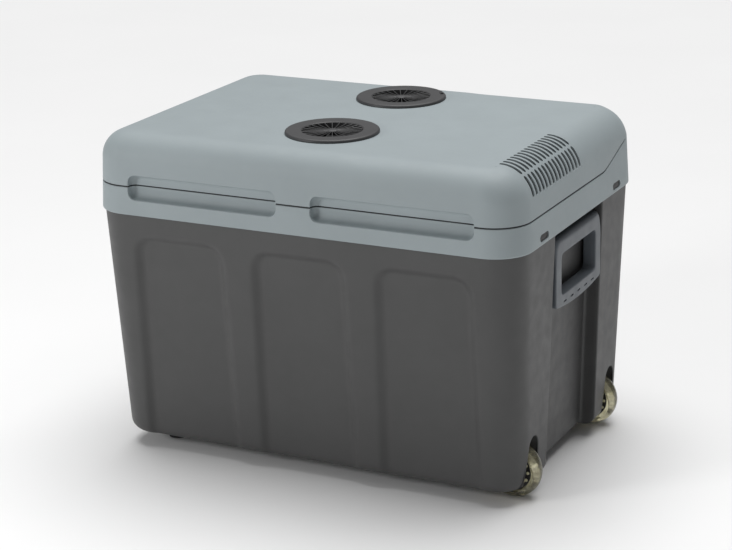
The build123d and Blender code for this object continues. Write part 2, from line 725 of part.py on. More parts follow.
def status_lights():
    return [rod_x(1.45, 6, INLET_X + 3, y, INLET_Z) for y in LAMP_PLACES]


def save(name, shape):
    solids = shape if isinstance(shape, list) else [shape]
    group = []
    for item in solids:
        group.extend(item.solids())
    export_step(group[0] if len(group) == 1 else Compound(children=group), f"parts/{name}.step")


def cooling_unit(name):
    """Everything in one unit, from the round grille down to the guard inside the box."""
    y = UNITS[name]
    cold_y = COLD_Y[name]
    hot = Pos(UNIT_X, y, 400)
    cold = Pos(UNIT_X, cold_y, PLUG_BOTTOM + 2.6)
    save(f"fan_grille_{name}", fan_grille(y, tab=name == "rear"))
    save(f"hot_fan_frame_{name}", hot * fan_frame(HOT_FAN, HOT_FAN_THICK, 43.5, 18))
    save(f"hot_fan_rotor_{name}", hot * fan_rotor(HOT_FAN_THICK, 43.5, 16.5, 9))
    save(f"hot_sink_{name}", hot_sink(y))
    save(f"peltier_{name}", Pos(UNIT_X, y, 376) * Box(40, 40, 4))
    save(f"spacer_block_{name}", Pos(UNIT_X, y, 369) * Box(44, 44, 10))
    save(f"cold_sink_{name}", cold_sink(cold_y))
    save(f"cold_fan_frame_{name}", cold * fan_frame(COLD_FAN, COLD_FAN_THICK, 37.5, 15))
    save(f"cold_fan_rotor_{name}", cold * fan_rotor(COLD_FAN_THICK, 37.5, 13.5, 9))
    save(f"cold_fan_guard_{name}", cold_fan_guard(cold_y))


def main():
    os.makedirs("parts", exist_ok=True)
    for piece in (outer_shell, cabinet_foam, inner_liner, collar, collar_clips, hinge_pins, wheel_axles):
        save(piece.__name__, piece())
    for piece in (feet, foot_screws, lid_shell, lid_liner, lid_gasket, lid_foam, lid_screws):
        save(piece.__name__, piece())
    for piece in (power_supply, control_board, wiring_harness, inlet_panel, status_lights):
        save(piece.__name__, piece())
    save("handle_pivots", pivots(PIVOT_RADIUS))
    save("handle_right", handle(1))
    save("handle_left", handle(-1))
    for name, side in (("front", -1), ("rear", 1)):
        save(f"wheel_tyre_{name}", tyre(side * WHEEL_Y))
        save(f"wheel_hub_{name}", hub(side * WHEEL_Y))
        save(f"wheel_bearings_{name}", bearings(side * WHEEL_Y))
    for name in UNITS:
        cooling_unit(name)
    save("mains_inlet", inlet(*INLETS["mains"], 5.0))
    save("battery_inlet", inlet(*INLETS["battery"], 4.6))
    save("switch_housing", switch_housing())
    save("switch_knob", switch_knob())


main()
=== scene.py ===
"""Looks of a wheeled thermoelectric cool box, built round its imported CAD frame.

Lengths are in millimetres. Those of the materials, lights and camera are in metres. The origin is on the
floor under the middle of the box, +X points to the end with the wheels, -Y is the front, and the lid is
hinged along the rear.
"""

from math import cos, pi, radians, sin, sqrt, tan

import bmesh
import bpy
import numpy as np
from mathutils import Matrix, Vector


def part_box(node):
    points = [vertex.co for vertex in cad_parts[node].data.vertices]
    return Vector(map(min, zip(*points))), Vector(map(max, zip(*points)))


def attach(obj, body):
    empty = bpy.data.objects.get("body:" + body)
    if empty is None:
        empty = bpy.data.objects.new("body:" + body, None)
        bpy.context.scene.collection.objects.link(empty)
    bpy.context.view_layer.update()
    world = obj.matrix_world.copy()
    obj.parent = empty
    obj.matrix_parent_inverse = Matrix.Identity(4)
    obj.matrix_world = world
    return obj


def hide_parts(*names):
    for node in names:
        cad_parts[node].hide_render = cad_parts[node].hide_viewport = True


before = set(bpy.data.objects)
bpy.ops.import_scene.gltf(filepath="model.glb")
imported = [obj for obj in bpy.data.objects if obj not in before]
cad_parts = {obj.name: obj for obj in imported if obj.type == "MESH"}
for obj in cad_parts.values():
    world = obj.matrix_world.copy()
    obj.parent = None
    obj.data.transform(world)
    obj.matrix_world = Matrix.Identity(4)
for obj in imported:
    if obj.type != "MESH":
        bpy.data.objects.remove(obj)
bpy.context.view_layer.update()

MM = 0.001

# ---- sizes read from the frame ----


def node_box(node):
    """Lowest and highest corner of a CAD node, in millimetres."""
    low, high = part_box(node)
    return np.array(low) / MM, np.array(high) / MM


collar_low, collar_high = node_box("collar")
shell_low, shell_high = node_box("outer_shell")
lid_high = node_box("lid_shell")[1]
handle_low, handle_high = node_box("handle_right")
grille_low, grille_high = node_box("fan_grille_front")

HALF_LENGTH = collar_high[0]
HALF_DEPTH = collar_high[1]
UNDERSIDE = shell_low[2]
COLLAR_BASE = collar_low[2]
LID_TOP = lid_high[2]

# ---- cabinet ----
SHOULDER = COLLAR_BASE - 0.5
BODY_TOP = (shell_high[0], shell_high[1])
BODY_BOTTOM = (BODY_TOP[0] - 8.5, BODY_TOP[1] - 17.5)
BODY_CORNER = 41.0
BODY_FOOT_ROUND = 14.0
SHELL_WALL = 2.5
NECK = (285.0, 187.0)
NECK_TOP = shell_high[2]
PANEL_PITCH = 168.0
PANEL_HALF = (70.0, 65.0)  # at the underside and at the panel's top
PANEL_TOP = 297.0
PANEL_CORNER = 26.0
PANEL_DEPTH = 5.5
PANEL_RUN = 10.0
PANEL_BLEND = 2.0  # exponent that adds a panel's depth to the bottom edge's rounding: 1 is a plain sum
BAY_FRONT = (-88.0, -79.0)  # front wall of the handle bays, at the underside and under the collar
BAY_REAR = (78.5, 79.5)
BAY_DEPTH = 20.0
BAY_EDGE = 1.8
BAY_ROOT = 4.0
BAY_CLEAR = 0.8  # flat stations of the bays and posts keep this far from their rounded edges
CLOSE_ROWS = (255.0, 302.0)  # the cabinet's rows are closer together here, round the panels' tops

# ---- collar and lid ----
SEAM = 358.7
COLLAR_GAP = 0.3
LID_GAP = 1.5
CORNER = 48.0
LEAN = tan(radians(3.13))
WALL = 3.0
FRONT_FACE = -(HALF_DEPTH - (SEAM - COLLAR_BASE) * LEAN)  # Y of the front at the seam
EDGE_SIDE = 35.0  # width of the lid's rolled edge at front, rear and left
EDGE_RIGHT = 42.0  # the lid rolls over more gently above the wheels
EDGE_HEIGHT = 34.0
EDGE_HEIGHT_RIGHT = 44.0
EDGE_BLEND = (8.0, 12.0)  # it starts to widen this far before the corner and stops this far from the end
LIP_INSET = 0.6  # chamfer along the lid's lower edge
LIP_HEIGHT = 0.5
COLLAR_FOOT = 2.5  # rounding of the collar's lower edge
COLLAR_EDGE = 0.8  # rounding of its upper edge
SEAM_SOFT = 3.0  # how softly the seam turns up at the cheeks
CHEEK_Y = 82.5
CHEEK_SLOPE = 0.31
SEAL_SHADE_INSET = (1.2, 2.8)  # the dark rubber lip behind the gap: it stands for the gasket and is also painted shade that keeps the gap dark
SEAL_SHADE_LIFT = (-0.25, 1.3)
FLANGE = (351.7, 354.7)
MOUTH = (230.0, 154.0, 28.0)
CREASE_X = 71.5
CREASE_RUN = 15.0
CREASE_DROP = 0.6
GRIPS = ((-232.3, -23.2), (23.8, 237.0))  # ends of the two grips
GRIP_HALF_HEIGHT = 15.75
GRIP_Z = 358.75
GRIP_CORNER = 10.0
GRIP_DEPTH = 11.0
GRIP_ROOT = 8.0
GRIP_WALL = 2.5
GRIP_FLARE = 0.7
GRIP_MOUTH = ((-12.0, 1.0), (-0.3, 1.0), (0.35, 0.35), (1.1, 0.0))  # (past the face, share of the flare)
LID_POCKET = 1.4  # the pockets round the grips start this far behind the face
COLLAR_POCKET = 1.0
INLET_HOLE = (48.3, 362.7, 383.3)  # half width, lowest Z and highest Z
CLIP_Y = 121.5
CLIP_Z = 332.0
CLIP_HALF = (13.5, 4.6)
CLIP_STEPS = ((0.3, 290.7), (3.2, 290.9))  # (inset, X of the face) of a clip's frame and its middle

HINGE = (199.5, 394.0)
HINGE_RADIUS = 5.0
HINGE_HALF = 242.0
HINGE_CUT_HALF = 255.0
KNUCKLE_X = 150.0
KNUCKLE_HALF = 17.0
KNUCKLE_GAP = 0.5
HINGE_PLAY = 0.6  # between the barrel and the lid or collar

# ---- vents ----
VENT_COUNT = 15
VENT_PITCH = 10.5
VENT_HALF = 3.0
VENT_FIRST_Y = -146.5
VENT_TOP_ROW = (245.5, 274.0)
VENT_SIDE_ROW = (386.0, 410.5)
VENT_TOP_CUT = (405.0, 432.0)  # from this Z to this Z
VENT_SIDE_CUT = (268.0, 298.0)  # from this X to this X
# painted shade: a black sheet under the vent slots, so that they read dark
SHADE_SHEET_INSET = (4.6, 5.6)
SHADE_SHEET_TURN = (12, 90)  # degrees round the rolled edge
SHADE_SHEET_MARGIN = 6.0

# ---- grilles ----
GRILLE_CENTRES = {"front": (-4.5, -86.0), "rear": (-4.5, 109.0)}
DISC_RADIUS = (grille_high[0] - grille_low[0]) / 2
GRILLE_RADIUS = 38.0
GRILLE_SKIRT = 49.0  # radius of the skirt that sits in the lid
GRILLE_HOLE = 49.3
GRILLE_RIBS = 26
BLADE_HEIGHT = 0.9
BLADE_START = 5.0
TAB_PLACE = (52.6, 34.0)  # radius, and degrees round the grille

# ---- handles ----
HANDLE_TOP_CORNER = 10.0
HANDLE_LOW_CORNER = 4.0
HANDLE_BULGE = 6.3  # the lower edge bows down this far in the middle
HANDLE_WINDOW = (57.25, 26.25, 7.0)  # half width, half height and corner
HANDLE_WINDOW_Z = 264.8
HANDLE_EDGE = (1.5, 6.8)  # rounding of the outer edge, and how much more it has at the top
HANDLE_LIP = 1.6  # rounding of the window's edge
DASH_HALF = (4.8, 1.15)
DASH_PITCH = 23.0
DASH_Z = 8.6  # above the handle's lower edge
DASH_DEPTH = 1.2
PIVOT_BORE = 3.1
PIVOT_DROP = 8.5  # below the handle's top
PIVOT_Y = (66.8, 80.0)

# ---- wheels ----
WHEEL_RADIUS = 36.0
WHEEL_X = 256.5
WHEEL_Y = 130.5
TYRE_INNER = 25.2
TYRE_ROUND = 9.0
TYRE_HALF = 11.9
WHEEL_PLUGS = 14
PLUG_RADIUS = 21.6
WELL_HALF = 14.5
WELL_APEX = 81.5
WELL_FLARE = 16.0  # the front side of each well leans this far forward at the floor
WELL_INNER_X = 214.0
WELL_RIM = -1.3  # the flare starts this far inside the end face
WELL_MOUTH = ((WELL_RIM, 0.0), (-0.5, 0.25), (-0.1, 0.75), (0.02, 1.3), (14.0, 1.3))  # (past it, flare)
WELL_CUT_Z = -4.0

# ---- stations round an outline ----
FRONT_STEPS = 110
END_STEPS = 80
CORNER_STEPS = 16
LID_ROWS = 34
POST_STEPS = 12
BODY_STEPS = 132
BODY_BEND = 12
SMOOTH_ANGLE = 40.0

# ---- stage, in metres and degrees ----
CAMERA_PLACE = (1.1752, -2.3025, 1.0489)
CAMERA_YAW = 26.39
CAMERA_PITCH = 17.95
CAMERA_ROLL = -1.23
CAMERA_LENS = 102.88
CAMERA_SHIFT = -0.0375
FLOOR_HALF = 12000.0  # in millimetres, as every Shape
WORLD_STRENGTH = 0.2
NOISE_RANGE = (0.3, 0.7)  # nearly all the values of a noise texture lie in it


# ---- materials ----


def new_material(name):
    material = bpy.data.materials.new(name)
    material.use_nodes = True
    tree = material.node_tree
    return material, tree, tree.nodes["Principled BSDF"]


def add_node(tree, kind, **values):
    """A shader node with its inputs and properties set by name."""
    node = tree.nodes.new(kind)
    for key, value in values.items():
        if key in node.inputs:
            node.inputs[key].default_value = value
        else:
            setattr(node, key, value)
    return node


def noise(tree, scale, detail=4.0):
    """Noise in object space, so that the pattern is the same size on every piece."""
    coords = tree.nodes.new("ShaderNodeTexCoord")
    texture = add_node(tree, "ShaderNodeTexNoise", Scale=scale, Detail=detail)
    tree.links.new(coords.outputs["Object"], texture.inputs["Vector"])
    return texture.outputs["Fac"]


def ramp(tree, source, low, high, stops=(0.35, 0.65)):
    """Maps a 0 to 1 value onto two colours."""
    node = tree.nodes.new("ShaderNodeValToRGB")
    for element, place, colour in zip(node.color_ramp.elements, stops, (low, high)):
        element.position = place
        element.color = colour
    tree.links.new(source, node.inputs["Fac"])
    return node.outputs["Color"]


def shade(colour, factor):
    """The same colour, lighter or darker."""
    return tuple(min(1.0, channel * factor) for channel in colour) + (1.0,)


def span(tree, source, low, high):
    """Maps a noise texture's values onto a range of numbers."""
    node = tree.nodes.new("ShaderNodeMapRange")
    node.inputs["From Min"].default_value, node.inputs["From Max"].default_value = NOISE_RANGE
    node.inputs["To Min"].default_value = low
    node.inputs["To Max"].default_value = high
    tree.links.new(source, node.inputs["Value"])
    return node.outputs["Result"]


def bump(tree, shader, source, strength, distance):
    """Relief from a 0 to 1 value."""
    node = add_node(tree, "ShaderNodeBump", Strength=strength, Distance=distance)
    tree.links.new(source, node.inputs["Height"])
    tree.links.new(node.outputs["Normal"], shader.inputs["Normal"])


def plastic(name, colour, rough, grain_scale, grain_height, mottle=0.06):
    """Moulded plastic: fine grain, slight mottling, worn and dusty patches in the gloss."""
    material, tree, shader = new_material(name)
    cloud = noise(tree, scale=14.0)
    tinted = ramp(tree, cloud, shade(colour, 1 - mottle), shade(colour, 1 + mottle))
    tree.links.new(tinted, shader.inputs["Base Color"])
    wear = noise(tree, scale=60.0, detail=6.0)
    tree.links.new(span(tree, wear, rough - 0.05, rough + 0.06), shader.inputs["Roughness"])
    grain = noise(tree, grain_scale, detail=2.0)
    bump(tree, shader, grain, strength=0.6, distance=grain_height)
    return material


def metal(name, colour, rough, brush_scale):
    """Metal with fine brushing or casting texture."""
    material, tree, shader = new_material(name)
    shader.inputs["Metallic"].default_value = 1.0
    cloud = noise(tree, scale=40.0)
    tinted = ramp(tree, cloud, shade(colour, 0.9), shade(colour, 1.05))
    tree.links.new(tinted, shader.inputs["Base Color"])
    brush = noise(tree, brush_scale, detail=3.0)
    tree.links.new(span(tree, brush, rough - 0.06, rough + 0.1), shader.inputs["Roughness"])
    bump(tree, shader, brush, strength=0.4, distance=0.00002)
    return material


def cast_polyurethane():
    """Yellowish clear cast tyre, with faint flow clouds and a scuffed tread."""
    material, tree, shader = new_material("cast_polyurethane")
    cloud = noise(tree, scale=120.0, detail=3.0)
    colour = ramp(tree, cloud, (0.4, 0.37, 0.22, 1.0), (0.84, 0.8, 0.58, 1.0))
    tree.links.new(colour, shader.inputs["Base Color"])
    scuff = noise(tree, scale=420.0, detail=4.0)
    tree.links.new(span(tree, scuff, 0.05, 0.22), shader.inputs["Roughness"])
    shader.inputs["Transmission Weight"].default_value = 0.88
    shader.inputs["IOR"].default_value = 1.49
    bump(tree, shader, noise(tree, scale=260.0, detail=2.0), strength=0.5, distance=0.0002)
    return material


def insulation():
    """Rigid foam with small closed cells."""
    material, tree, shader = new_material("insulation")
    cells = add_node(tree, "ShaderNodeTexVoronoi", Scale=350.0)
    coords = tree.nodes.new("ShaderNodeTexCoord")
    tree.links.new(coords.outputs["Object"], cells.inputs["Vector"])
    colour = ramp(tree, cells.outputs["Distance"], (0.83, 0.74, 0.5, 1), (0.7, 0.6, 0.36, 1))
    tree.links.new(colour, shader.inputs["Base Color"])
    bump(tree, shader, cells.outputs["Distance"], strength=0.7, distance=0.0004)
    shader.inputs["Roughness"].default_value = 0.95
    return material


MATERIALS = {
    "cabinet": plastic("cabinet_anthracite", (0.062, 0.062, 0.062), 0.48, 1500.0, 0.00005, 0.03),
    "lid": plastic("lid_blue_grey", (0.31, 0.355, 0.37), 0.58, 1300.0, 0.00003, 0.02),
    "handle": plastic("handle_grey", (0.1, 0.113, 0.128), 0.42, 1400.0, 0.00003, 0.04),
    "charcoal": plastic("grille_charcoal", (0.05, 0.05, 0.052), 0.48, 1400.0, 0.00004, 0.06),
    # fan_black_and_vent_shade is also the painted shade under the vent slots
    "black": plastic("fan_black_and_vent_shade", (0.012, 0.012, 0.013), 0.5, 1400.0, 0.00003, 0.1),
    "liner": plastic("liner_pale", (0.74, 0.77, 0.78), 0.33, 1100.0, 0.00002, 0.02),
    # seal_rubber_and_gap_shade is also the painted shade in the gap between lid and collar
    "rubber": plastic("seal_rubber_and_gap_shade", (0.022, 0.022, 0.023), 0.75, 1600.0, 0.00006, 0.15),
    "board": plastic("circuit_board", (0.02, 0.12, 0.05), 0.4, 700.0, 0.0001, 0.3),
    "wire": plastic("wire_red", (0.3, 0.02, 0.02), 0.45, 900.0, 0.00002, 0.05),
    "lamp": plastic("lamp_green", (0.05, 0.42, 0.1), 0.2, 900.0, 0.00001, 0.05),
    "ceramic": plastic("peltier_ceramic", (0.82, 0.82, 0.8), 0.5, 1800.0, 0.00002, 0.03),
    "steel": metal("plated_steel", (0.55, 0.55, 0.56), 0.3, 600.0),
    "polished": metal("bearing_steel", (0.66, 0.66, 0.67), 0.18, 900.0),
    "aluminium": metal("sink_aluminium", (0.7, 0.71, 0.72), 0.32, 450.0),
    "tyre": cast_polyurethane(),
    "plug": plastic("polyurethane_plug", (0.66, 0.63, 0.42), 0.3, 900.0, 0.00002, 0.1),
    "foam": insulation(),
}


# ---- mesh helpers ----


class Shape:
    """Vertices in millimetres, and faces."""

    def __init__(self):
        self.points = []
        self.faces = []

    def add_points(self, points):
        start = len(self.points)
        self.points.extend(tuple(map(float, p)) for p in points)
        return start

    def add_rows(self, rows, wrap_rows=False, wrap_columns=True):
        """Quads between rows of points. Returns the index of each row's first point."""
        starts = [self.add_points(row) for row in rows]
        count = len(rows[0])
        pairs = list(zip(starts, starts[1:]))
        if wrap_rows:
            pairs.append((starts[-1], starts[0]))
        last = count if wrap_columns else count - 1
        for a, b in pairs:
            for i in range(last):
                j = (i + 1) % count
                self.faces.append((a + i, a + j, b + j, b + i))
        return starts

    def join_loops(self, a, b, count):
        """Quads between two loops that are already there."""
        for i in range(count):
            j = (i + 1) % count
            self.faces.append((a + i, a + j, b + j, b + i))

    def cap(self, start, count):
        self.faces.append(tuple(start + i for i in range(count)))

    def build(self, name, tidy=True):
        """A linked object in metres. tidy merges doubles and turns the normals outward."""
        mesh = bpy.data.meshes.new(name)
        scaled = [(x * MM, y * MM, z * MM) for x, y, z in self.points]
        mesh.from_pydata(scaled, [], self.faces)
        if tidy:
            work = bmesh.new()
            work.from_mesh(mesh)
            bmesh.ops.remove_doubles(work, verts=work.verts, dist=1e-6)
            bmesh.ops.dissolve_degenerate(work, edges=work.edges, dist=1e-7)
            bmesh.ops.recalc_face_normals(work, faces=work.faces)
            work.to_mesh(mesh)
            work.free()
        piece = bpy.data.objects.new(name, mesh)
        bpy.context.scene.collection.objects.link(piece)
        soften(piece, SMOOTH_ANGLE)
        return piece


def soften(piece, angle):
    """Smooth shading, with edges sharper than angle kept sharp."""
    mesh = piece.data
    mesh.polygons.foreach_set("use_smooth", [True] * len(mesh.polygons))
    mesh.set_sharp_from_angle(angle=radians(angle))


def combine(piece, other, operation):
    """Applies an exact boolean, and removes the other object."""
    modifier = piece.modifiers.new("cut", "BOOLEAN")
    modifier.operation = operation
    modifier.solver = "EXACT"
    modifier.object = other
    depsgraph = bpy.context.evaluated_depsgraph_get()
    result = bpy.data.meshes.new_from_object(piece.evaluated_get(depsgraph))
    piece.modifiers.clear()
    old = piece.data
    piece.data = result
    bpy.data.meshes.remove(old)
    bpy.data.objects.remove(other)


def finish_piece(piece, material, body, replaced=(), smooth=SMOOTH_ANGLE):
    """Material, shading and the body that the piece rides on."""
    piece.data.materials.clear()
    piece.data.materials.append(MATERIALS[material])
    soften(piece, smooth)
    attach(piece, body)
    if replaced:
        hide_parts(*replaced)
    return piece


def steps(low, high, count):
    return np.linspace(low, high, count + 1)


def smoothstep(t):
    t = np.clip(t, 0.0, 1.0)
    return t * t * (3 - 2 * t)


def blend(low, high, t):
    return low + (high - low) * t


def arc(x, y, radius, start, stop, count):
    """Points on an arc, without the last one."""
    angles = np.radians(steps(start, stop, count)[:-1])
    return [(x + radius * cos(a), y + radius * sin(a)) for a in angles]


def outline(half_x, half_y, corner, front=FRONT_STEPS, end=END_STEPS, bend=CORNER_STEPS):
    """Closed rounded rectangle, counter-clockwise from the left end of the front side."""
    flat_x, flat_y = half_x - corner, half_y - corner
    points = [(x, -half_y) for x in steps(-flat_x, flat_x, front)[:-1]]
    points += arc(flat_x, -flat_y, corner, -90, 0, bend)
    points += [(half_x, y) for y in steps(-flat_y, flat_y, end)[:-1]]
    points += arc(flat_x, flat_y, corner, 0, 90, bend)
    points += [(x, half_y) for x in steps(flat_x, -flat_x, front)[:-1]]
    points += arc(-flat_x, flat_y, corner, 90, 180, bend)
    points += [(-half_x, y) for y in steps(flat_y, -flat_y, end)[:-1]]
    points += arc(-flat_x, -flat_y, corner, 180, 270, bend)
    return np.array(points)


def quarter(radius, count):
    """(inset, drop) pairs round a quarter circle, from the side (0, radius) to the face (radius, 0)."""
    angles = np.radians(steps(0, 90, count))
    return [(radius * (1 - cos(a)), radius * (1 - sin(a))) for a in angles]


def with_height(points, height):
    """Adds a height, or one height for each point."""
    return np.column_stack([points, np.broadcast_to(height, len(points))])


def pull_in(loop, core, amount):
    """Moves each point by its own amount straight towards a middle rectangle with half sizes core."""
    away = loop - np.clip(loop, -core, core)
    length = np.maximum(np.linalg.norm(away, axis=1, keepdims=True), 1e-6)
    return loop - away / length * np.reshape(amount, (-1, 1))


# ---- collar and lid ----


def side_loop(z, inset=0.0):
    """Outline of collar and lid at a height, leaning in as it rises."""
    lean = (z - COLLAR_BASE) * LEAN + inset
    return outline(HALF_LENGTH - lean, HALF_DEPTH - lean, CORNER - lean)


def seam_height(points):
    """Height of the seam, which climbs towards the hinge."""
    along = points[:, 1] - CHEEK_Y
    return SEAM + CHEEK_SLOPE * SEAM_SOFT * np.logaddexp(0, along / SEAM_SOFT)


def lean_in(loop, amount):
    """Moves the points of a collar or lid outline inwards."""
    return pull_in(loop, np.array([HALF_LENGTH, HALF_DEPTH]) - CORNER, amount)


def crease(x):
    """The lid's top steps down softly to the right of the grilles."""
    step = smoothstep((x - CREASE_X + CREASE_RUN) / (2 * CREASE_RUN))
    return -CREASE_DROP * step


def edge_size(loop):
    """Width and height of the lid's rolled edge, larger over the wheels."""
    before, short = EDGE_BLEND
    right = smoothstep((loop[:, 0] - HALF_LENGTH + CORNER + before) / (CORNER + before - short))
    return blend(EDGE_SIDE, EDGE_RIGHT, right), blend(EDGE_HEIGHT, EDGE_HEIGHT_RIGHT, right)


def lid_rows(inset, bottom):
    """Loops from the seam up the lid's side and over its rolled edge."""
    loop = side_loop(SEAM)
    wide, tall = edge_size(loop)
    base = LID_TOP - tall
    wide, tall = wide - inset, tall - inset
    straight = np.maximum(base - bottom, 0)
    first_angle = np.arcsin(np.clip((bottom - base) / tall, 0, 1))
    length = straight + (pi / 2 - first_angle) * EDGE_HEIGHT
    rows = []
    for t in steps(0, 1, LID_ROWS):
        way = t * length
        angle = np.clip(first_angle + (way - straight) / EDGE_HEIGHT, 0, pi / 2)
        rolled = base + (tall + crease(loop[:, 0])) * np.sin(angle)
        heights = np.where(way < straight, bottom + way, rolled)
        pulled = (np.minimum(heights, base) - SEAM) * LEAN + inset
        pulled = pulled + np.where(way < straight, 0, wide * (1 - np.cos(angle)))
        rows.append(with_height(lean_in(loop, pulled), heights))
    return rows


def cap_grid(shape, start, loop, top):
    """Fills a loop with a regular grid whose corners are in the middle of the loop's bends."""
    count = len(loop)
    half = CORNER_STEPS // 2
    across = FRONT_STEPS + CORNER_STEPS
    deep = END_STEPS + CORNER_STEPS
    first = count - half
    front = [(first + i) % count for i in range(across + 1)]
    right = [(front[-1] + i) % count for i in range(deep + 1)]
    back = [(right[-1] + i) % count for i in range(across + 1)][::-1]
    left = [(back[0] + i) % count for i in range(deep + 1)][::-1]
    p = np.array(loop)
    u = np.linspace(0, 1, across + 1)[:, None]
    index = np.zeros((across + 1, deep + 1), int)
    index[:, 0] = [start + i for i in front]
    index[:, -1] = [start + i for i in back]
    index[0, :] = [start + i for i in left]
    index[-1, :] = [start + i for i in right]
    for j in range(1, deep):
        v = j / deep
        ends = (1 - u) * p[left[j]] + u * p[right[j]]
        sides = (1 - v) * p[front] + v * p[back]
        low = (1 - u) * p[front[0]] + u * p[front[-1]]
        high = (1 - u) * p[back[0]] + u * p[back[-1]]
        flat = (ends + sides - (1 - v) * low - v * high)[1:-1]
        inner = shape.add_points(with_height(flat[:, :2], top + crease(flat[:, 0])))
        index[1:-1, j] = range(inner, inner + across - 1)
    for i in range(across):
        for j in range(deep):
            shape.faces.append((index[i, j], index[i + 1, j], index[i + 1, j + 1], index[i, j + 1]))


def grip_prism(ends, grow, z_low=-np.inf, z_high=np.inf, front=None, flare=0.0):
    """Finger grip: a rounded slot that ends in a soft root. grow gives the pocket's outside."""
    floor = FRONT_FACE + GRIP_DEPTH + grow
    if front is None:
        stations = [(FRONT_FACE + past, flare * share) for past, share in GRIP_MOUTH]
    else:
        stations = [(front, 0.0)]
    for inset, drop in quarter(GRIP_ROOT + grow * 0.5, 7):
        stations.append((floor - drop, -inset))
    rows = []
    for y, offset in stations:
        half_x = (ends[1] - ends[0]) / 2 + grow + offset
        half_z = GRIP_HALF_HEIGHT + grow + offset
        corner = max(GRIP_CORNER + grow + offset, 1.0)
        loop = outline(half_x, half_z, corner, 40, 8, 8)
        across = loop[:, 0] + (ends[0] + ends[1]) / 2
        heights = np.clip(loop[:, 1] + GRIP_Z, z_low, z_high)
        rows.append(np.column_stack([across, np.full(len(loop), y), heights]))
    return closed(rows)


def closed(rows):
    """A solid between loops, closed at both ends."""
    shape = Shape()
    starts = shape.add_rows(rows)
    shape.cap(starts[0], len(rows[0]))
    shape.cap(starts[-1], len(rows[0]))
    return shape


def prism(loop, axis, low, high):
    """A loop of two coordinates, pushed along the third axis."""
    return closed([np.insert(np.array(loop, float), axis, place, axis=1) for place in (low, high)])


def stadium(half_long, half_wide, x=0.0, y=0.0, bend=8):
    """Slot outline with round ends, long in the first direction."""
    points = arc(half_long - half_wide, 0, half_wide, -90, 90, bend)
    points += [(half_long - half_wide, half_wide)]
    points += arc(-(half_long - half_wide), 0, half_wide, 90, 270, bend)
    points += [(-(half_long - half_wide), -half_wide)]
    return [(px + x, py + y) for px, py in points]


def circle(radius, count, x=0.0, y=0.0):
    turns = np.linspace(0, 2 * pi, count, endpoint=False)
    return [(x + radius * cos(a), y + radius * sin(a)) for a in turns]


def merged(shapes):
    """Several shapes as one."""
    whole = Shape()
    for shape in shapes:
        start = whole.add_points(shape.points)
        whole.faces.extend(tuple(start + i for i in face) for face in shape.faces)
    return whole


def vent_prisms():
    """Cutters for the slots in the top and for those in the side."""
    over, beside = [], []
    x_mid = sum(VENT_TOP_ROW) / 2
    x_half = (VENT_TOP_ROW[1] - VENT_TOP_ROW[0]) / 2
    z_mid = sum(VENT_SIDE_ROW) / 2
    z_half = (VENT_SIDE_ROW[1] - VENT_SIDE_ROW[0]) / 2
    for step in range(VENT_COUNT):
        y = VENT_FIRST_Y + step * VENT_PITCH
        over.append(prism(stadium(x_half, VENT_HALF, x_mid, y), 2, *VENT_TOP_CUT))
        side = [(b, a) for a, b in stadium(z_half, VENT_HALF, z_mid, y)]
        beside.append(prism(side, 0, *VENT_SIDE_CUT))
    return over, beside


def make_lid():
    start = side_loop(SEAM)
    bottom = seam_height(start) + LID_GAP
    outer = [with_height(lean_in(start, (bottom - SEAM) * LEAN + LIP_INSET), bottom)]
    outer += lid_rows(0.0, bottom + LIP_HEIGHT)
    inner = lid_rows(WALL, bottom)
    shape = Shape()
    outer_starts = shape.add_rows(outer)
    cap_grid(shape, outer_starts[-1], outer[-1], LID_TOP)
    inner_starts = shape.add_rows(inner)
    cap_grid(shape, inner_starts[-1], inner[-1], LID_TOP - WALL)
    shape.join_loops(outer_starts[0], inner_starts[0], len(start))
    lid = shape.build("lid_shell_skin")
    front = FRONT_FACE + LID_POCKET
    pockets = [grip_prism(ends, GRIP_WALL, z_low=SEAM + LID_GAP, front=front) for ends in GRIPS]
    combine(lid, merged(pockets).build("lid_pockets"), "UNION")
    for vents in vent_prisms():
        combine(lid, merged(vents).build("vent_cutters"), "DIFFERENCE")
    cutters = [grip_prism(ends, 0.0, flare=GRIP_FLARE) for ends in GRIPS]
    for x, y in GRILLE_CENTRES.values():
        cutters.append(prism(circle(GRILLE_HOLE, 96, x, y), 2, LID_TOP - 12, LID_TOP + 6))
    wide, low, high = INLET_HOLE
    cutters.append(prism([(-wide, low), (wide, low), (wide, high), (-wide, high)], 0, -300.0, -278.0))
    ring = circle(HINGE_RADIUS + HINGE_PLAY, 32, *HINGE)
    cutters.append(prism(ring, 0, -HINGE_CUT_HALF, HINGE_CUT_HALF))
    combine(lid, merged(cutters).build("lid_cutters"), "DIFFERENCE")
    finish_piece(lid, "lid", "lid", ["lid_shell"], 32.0)


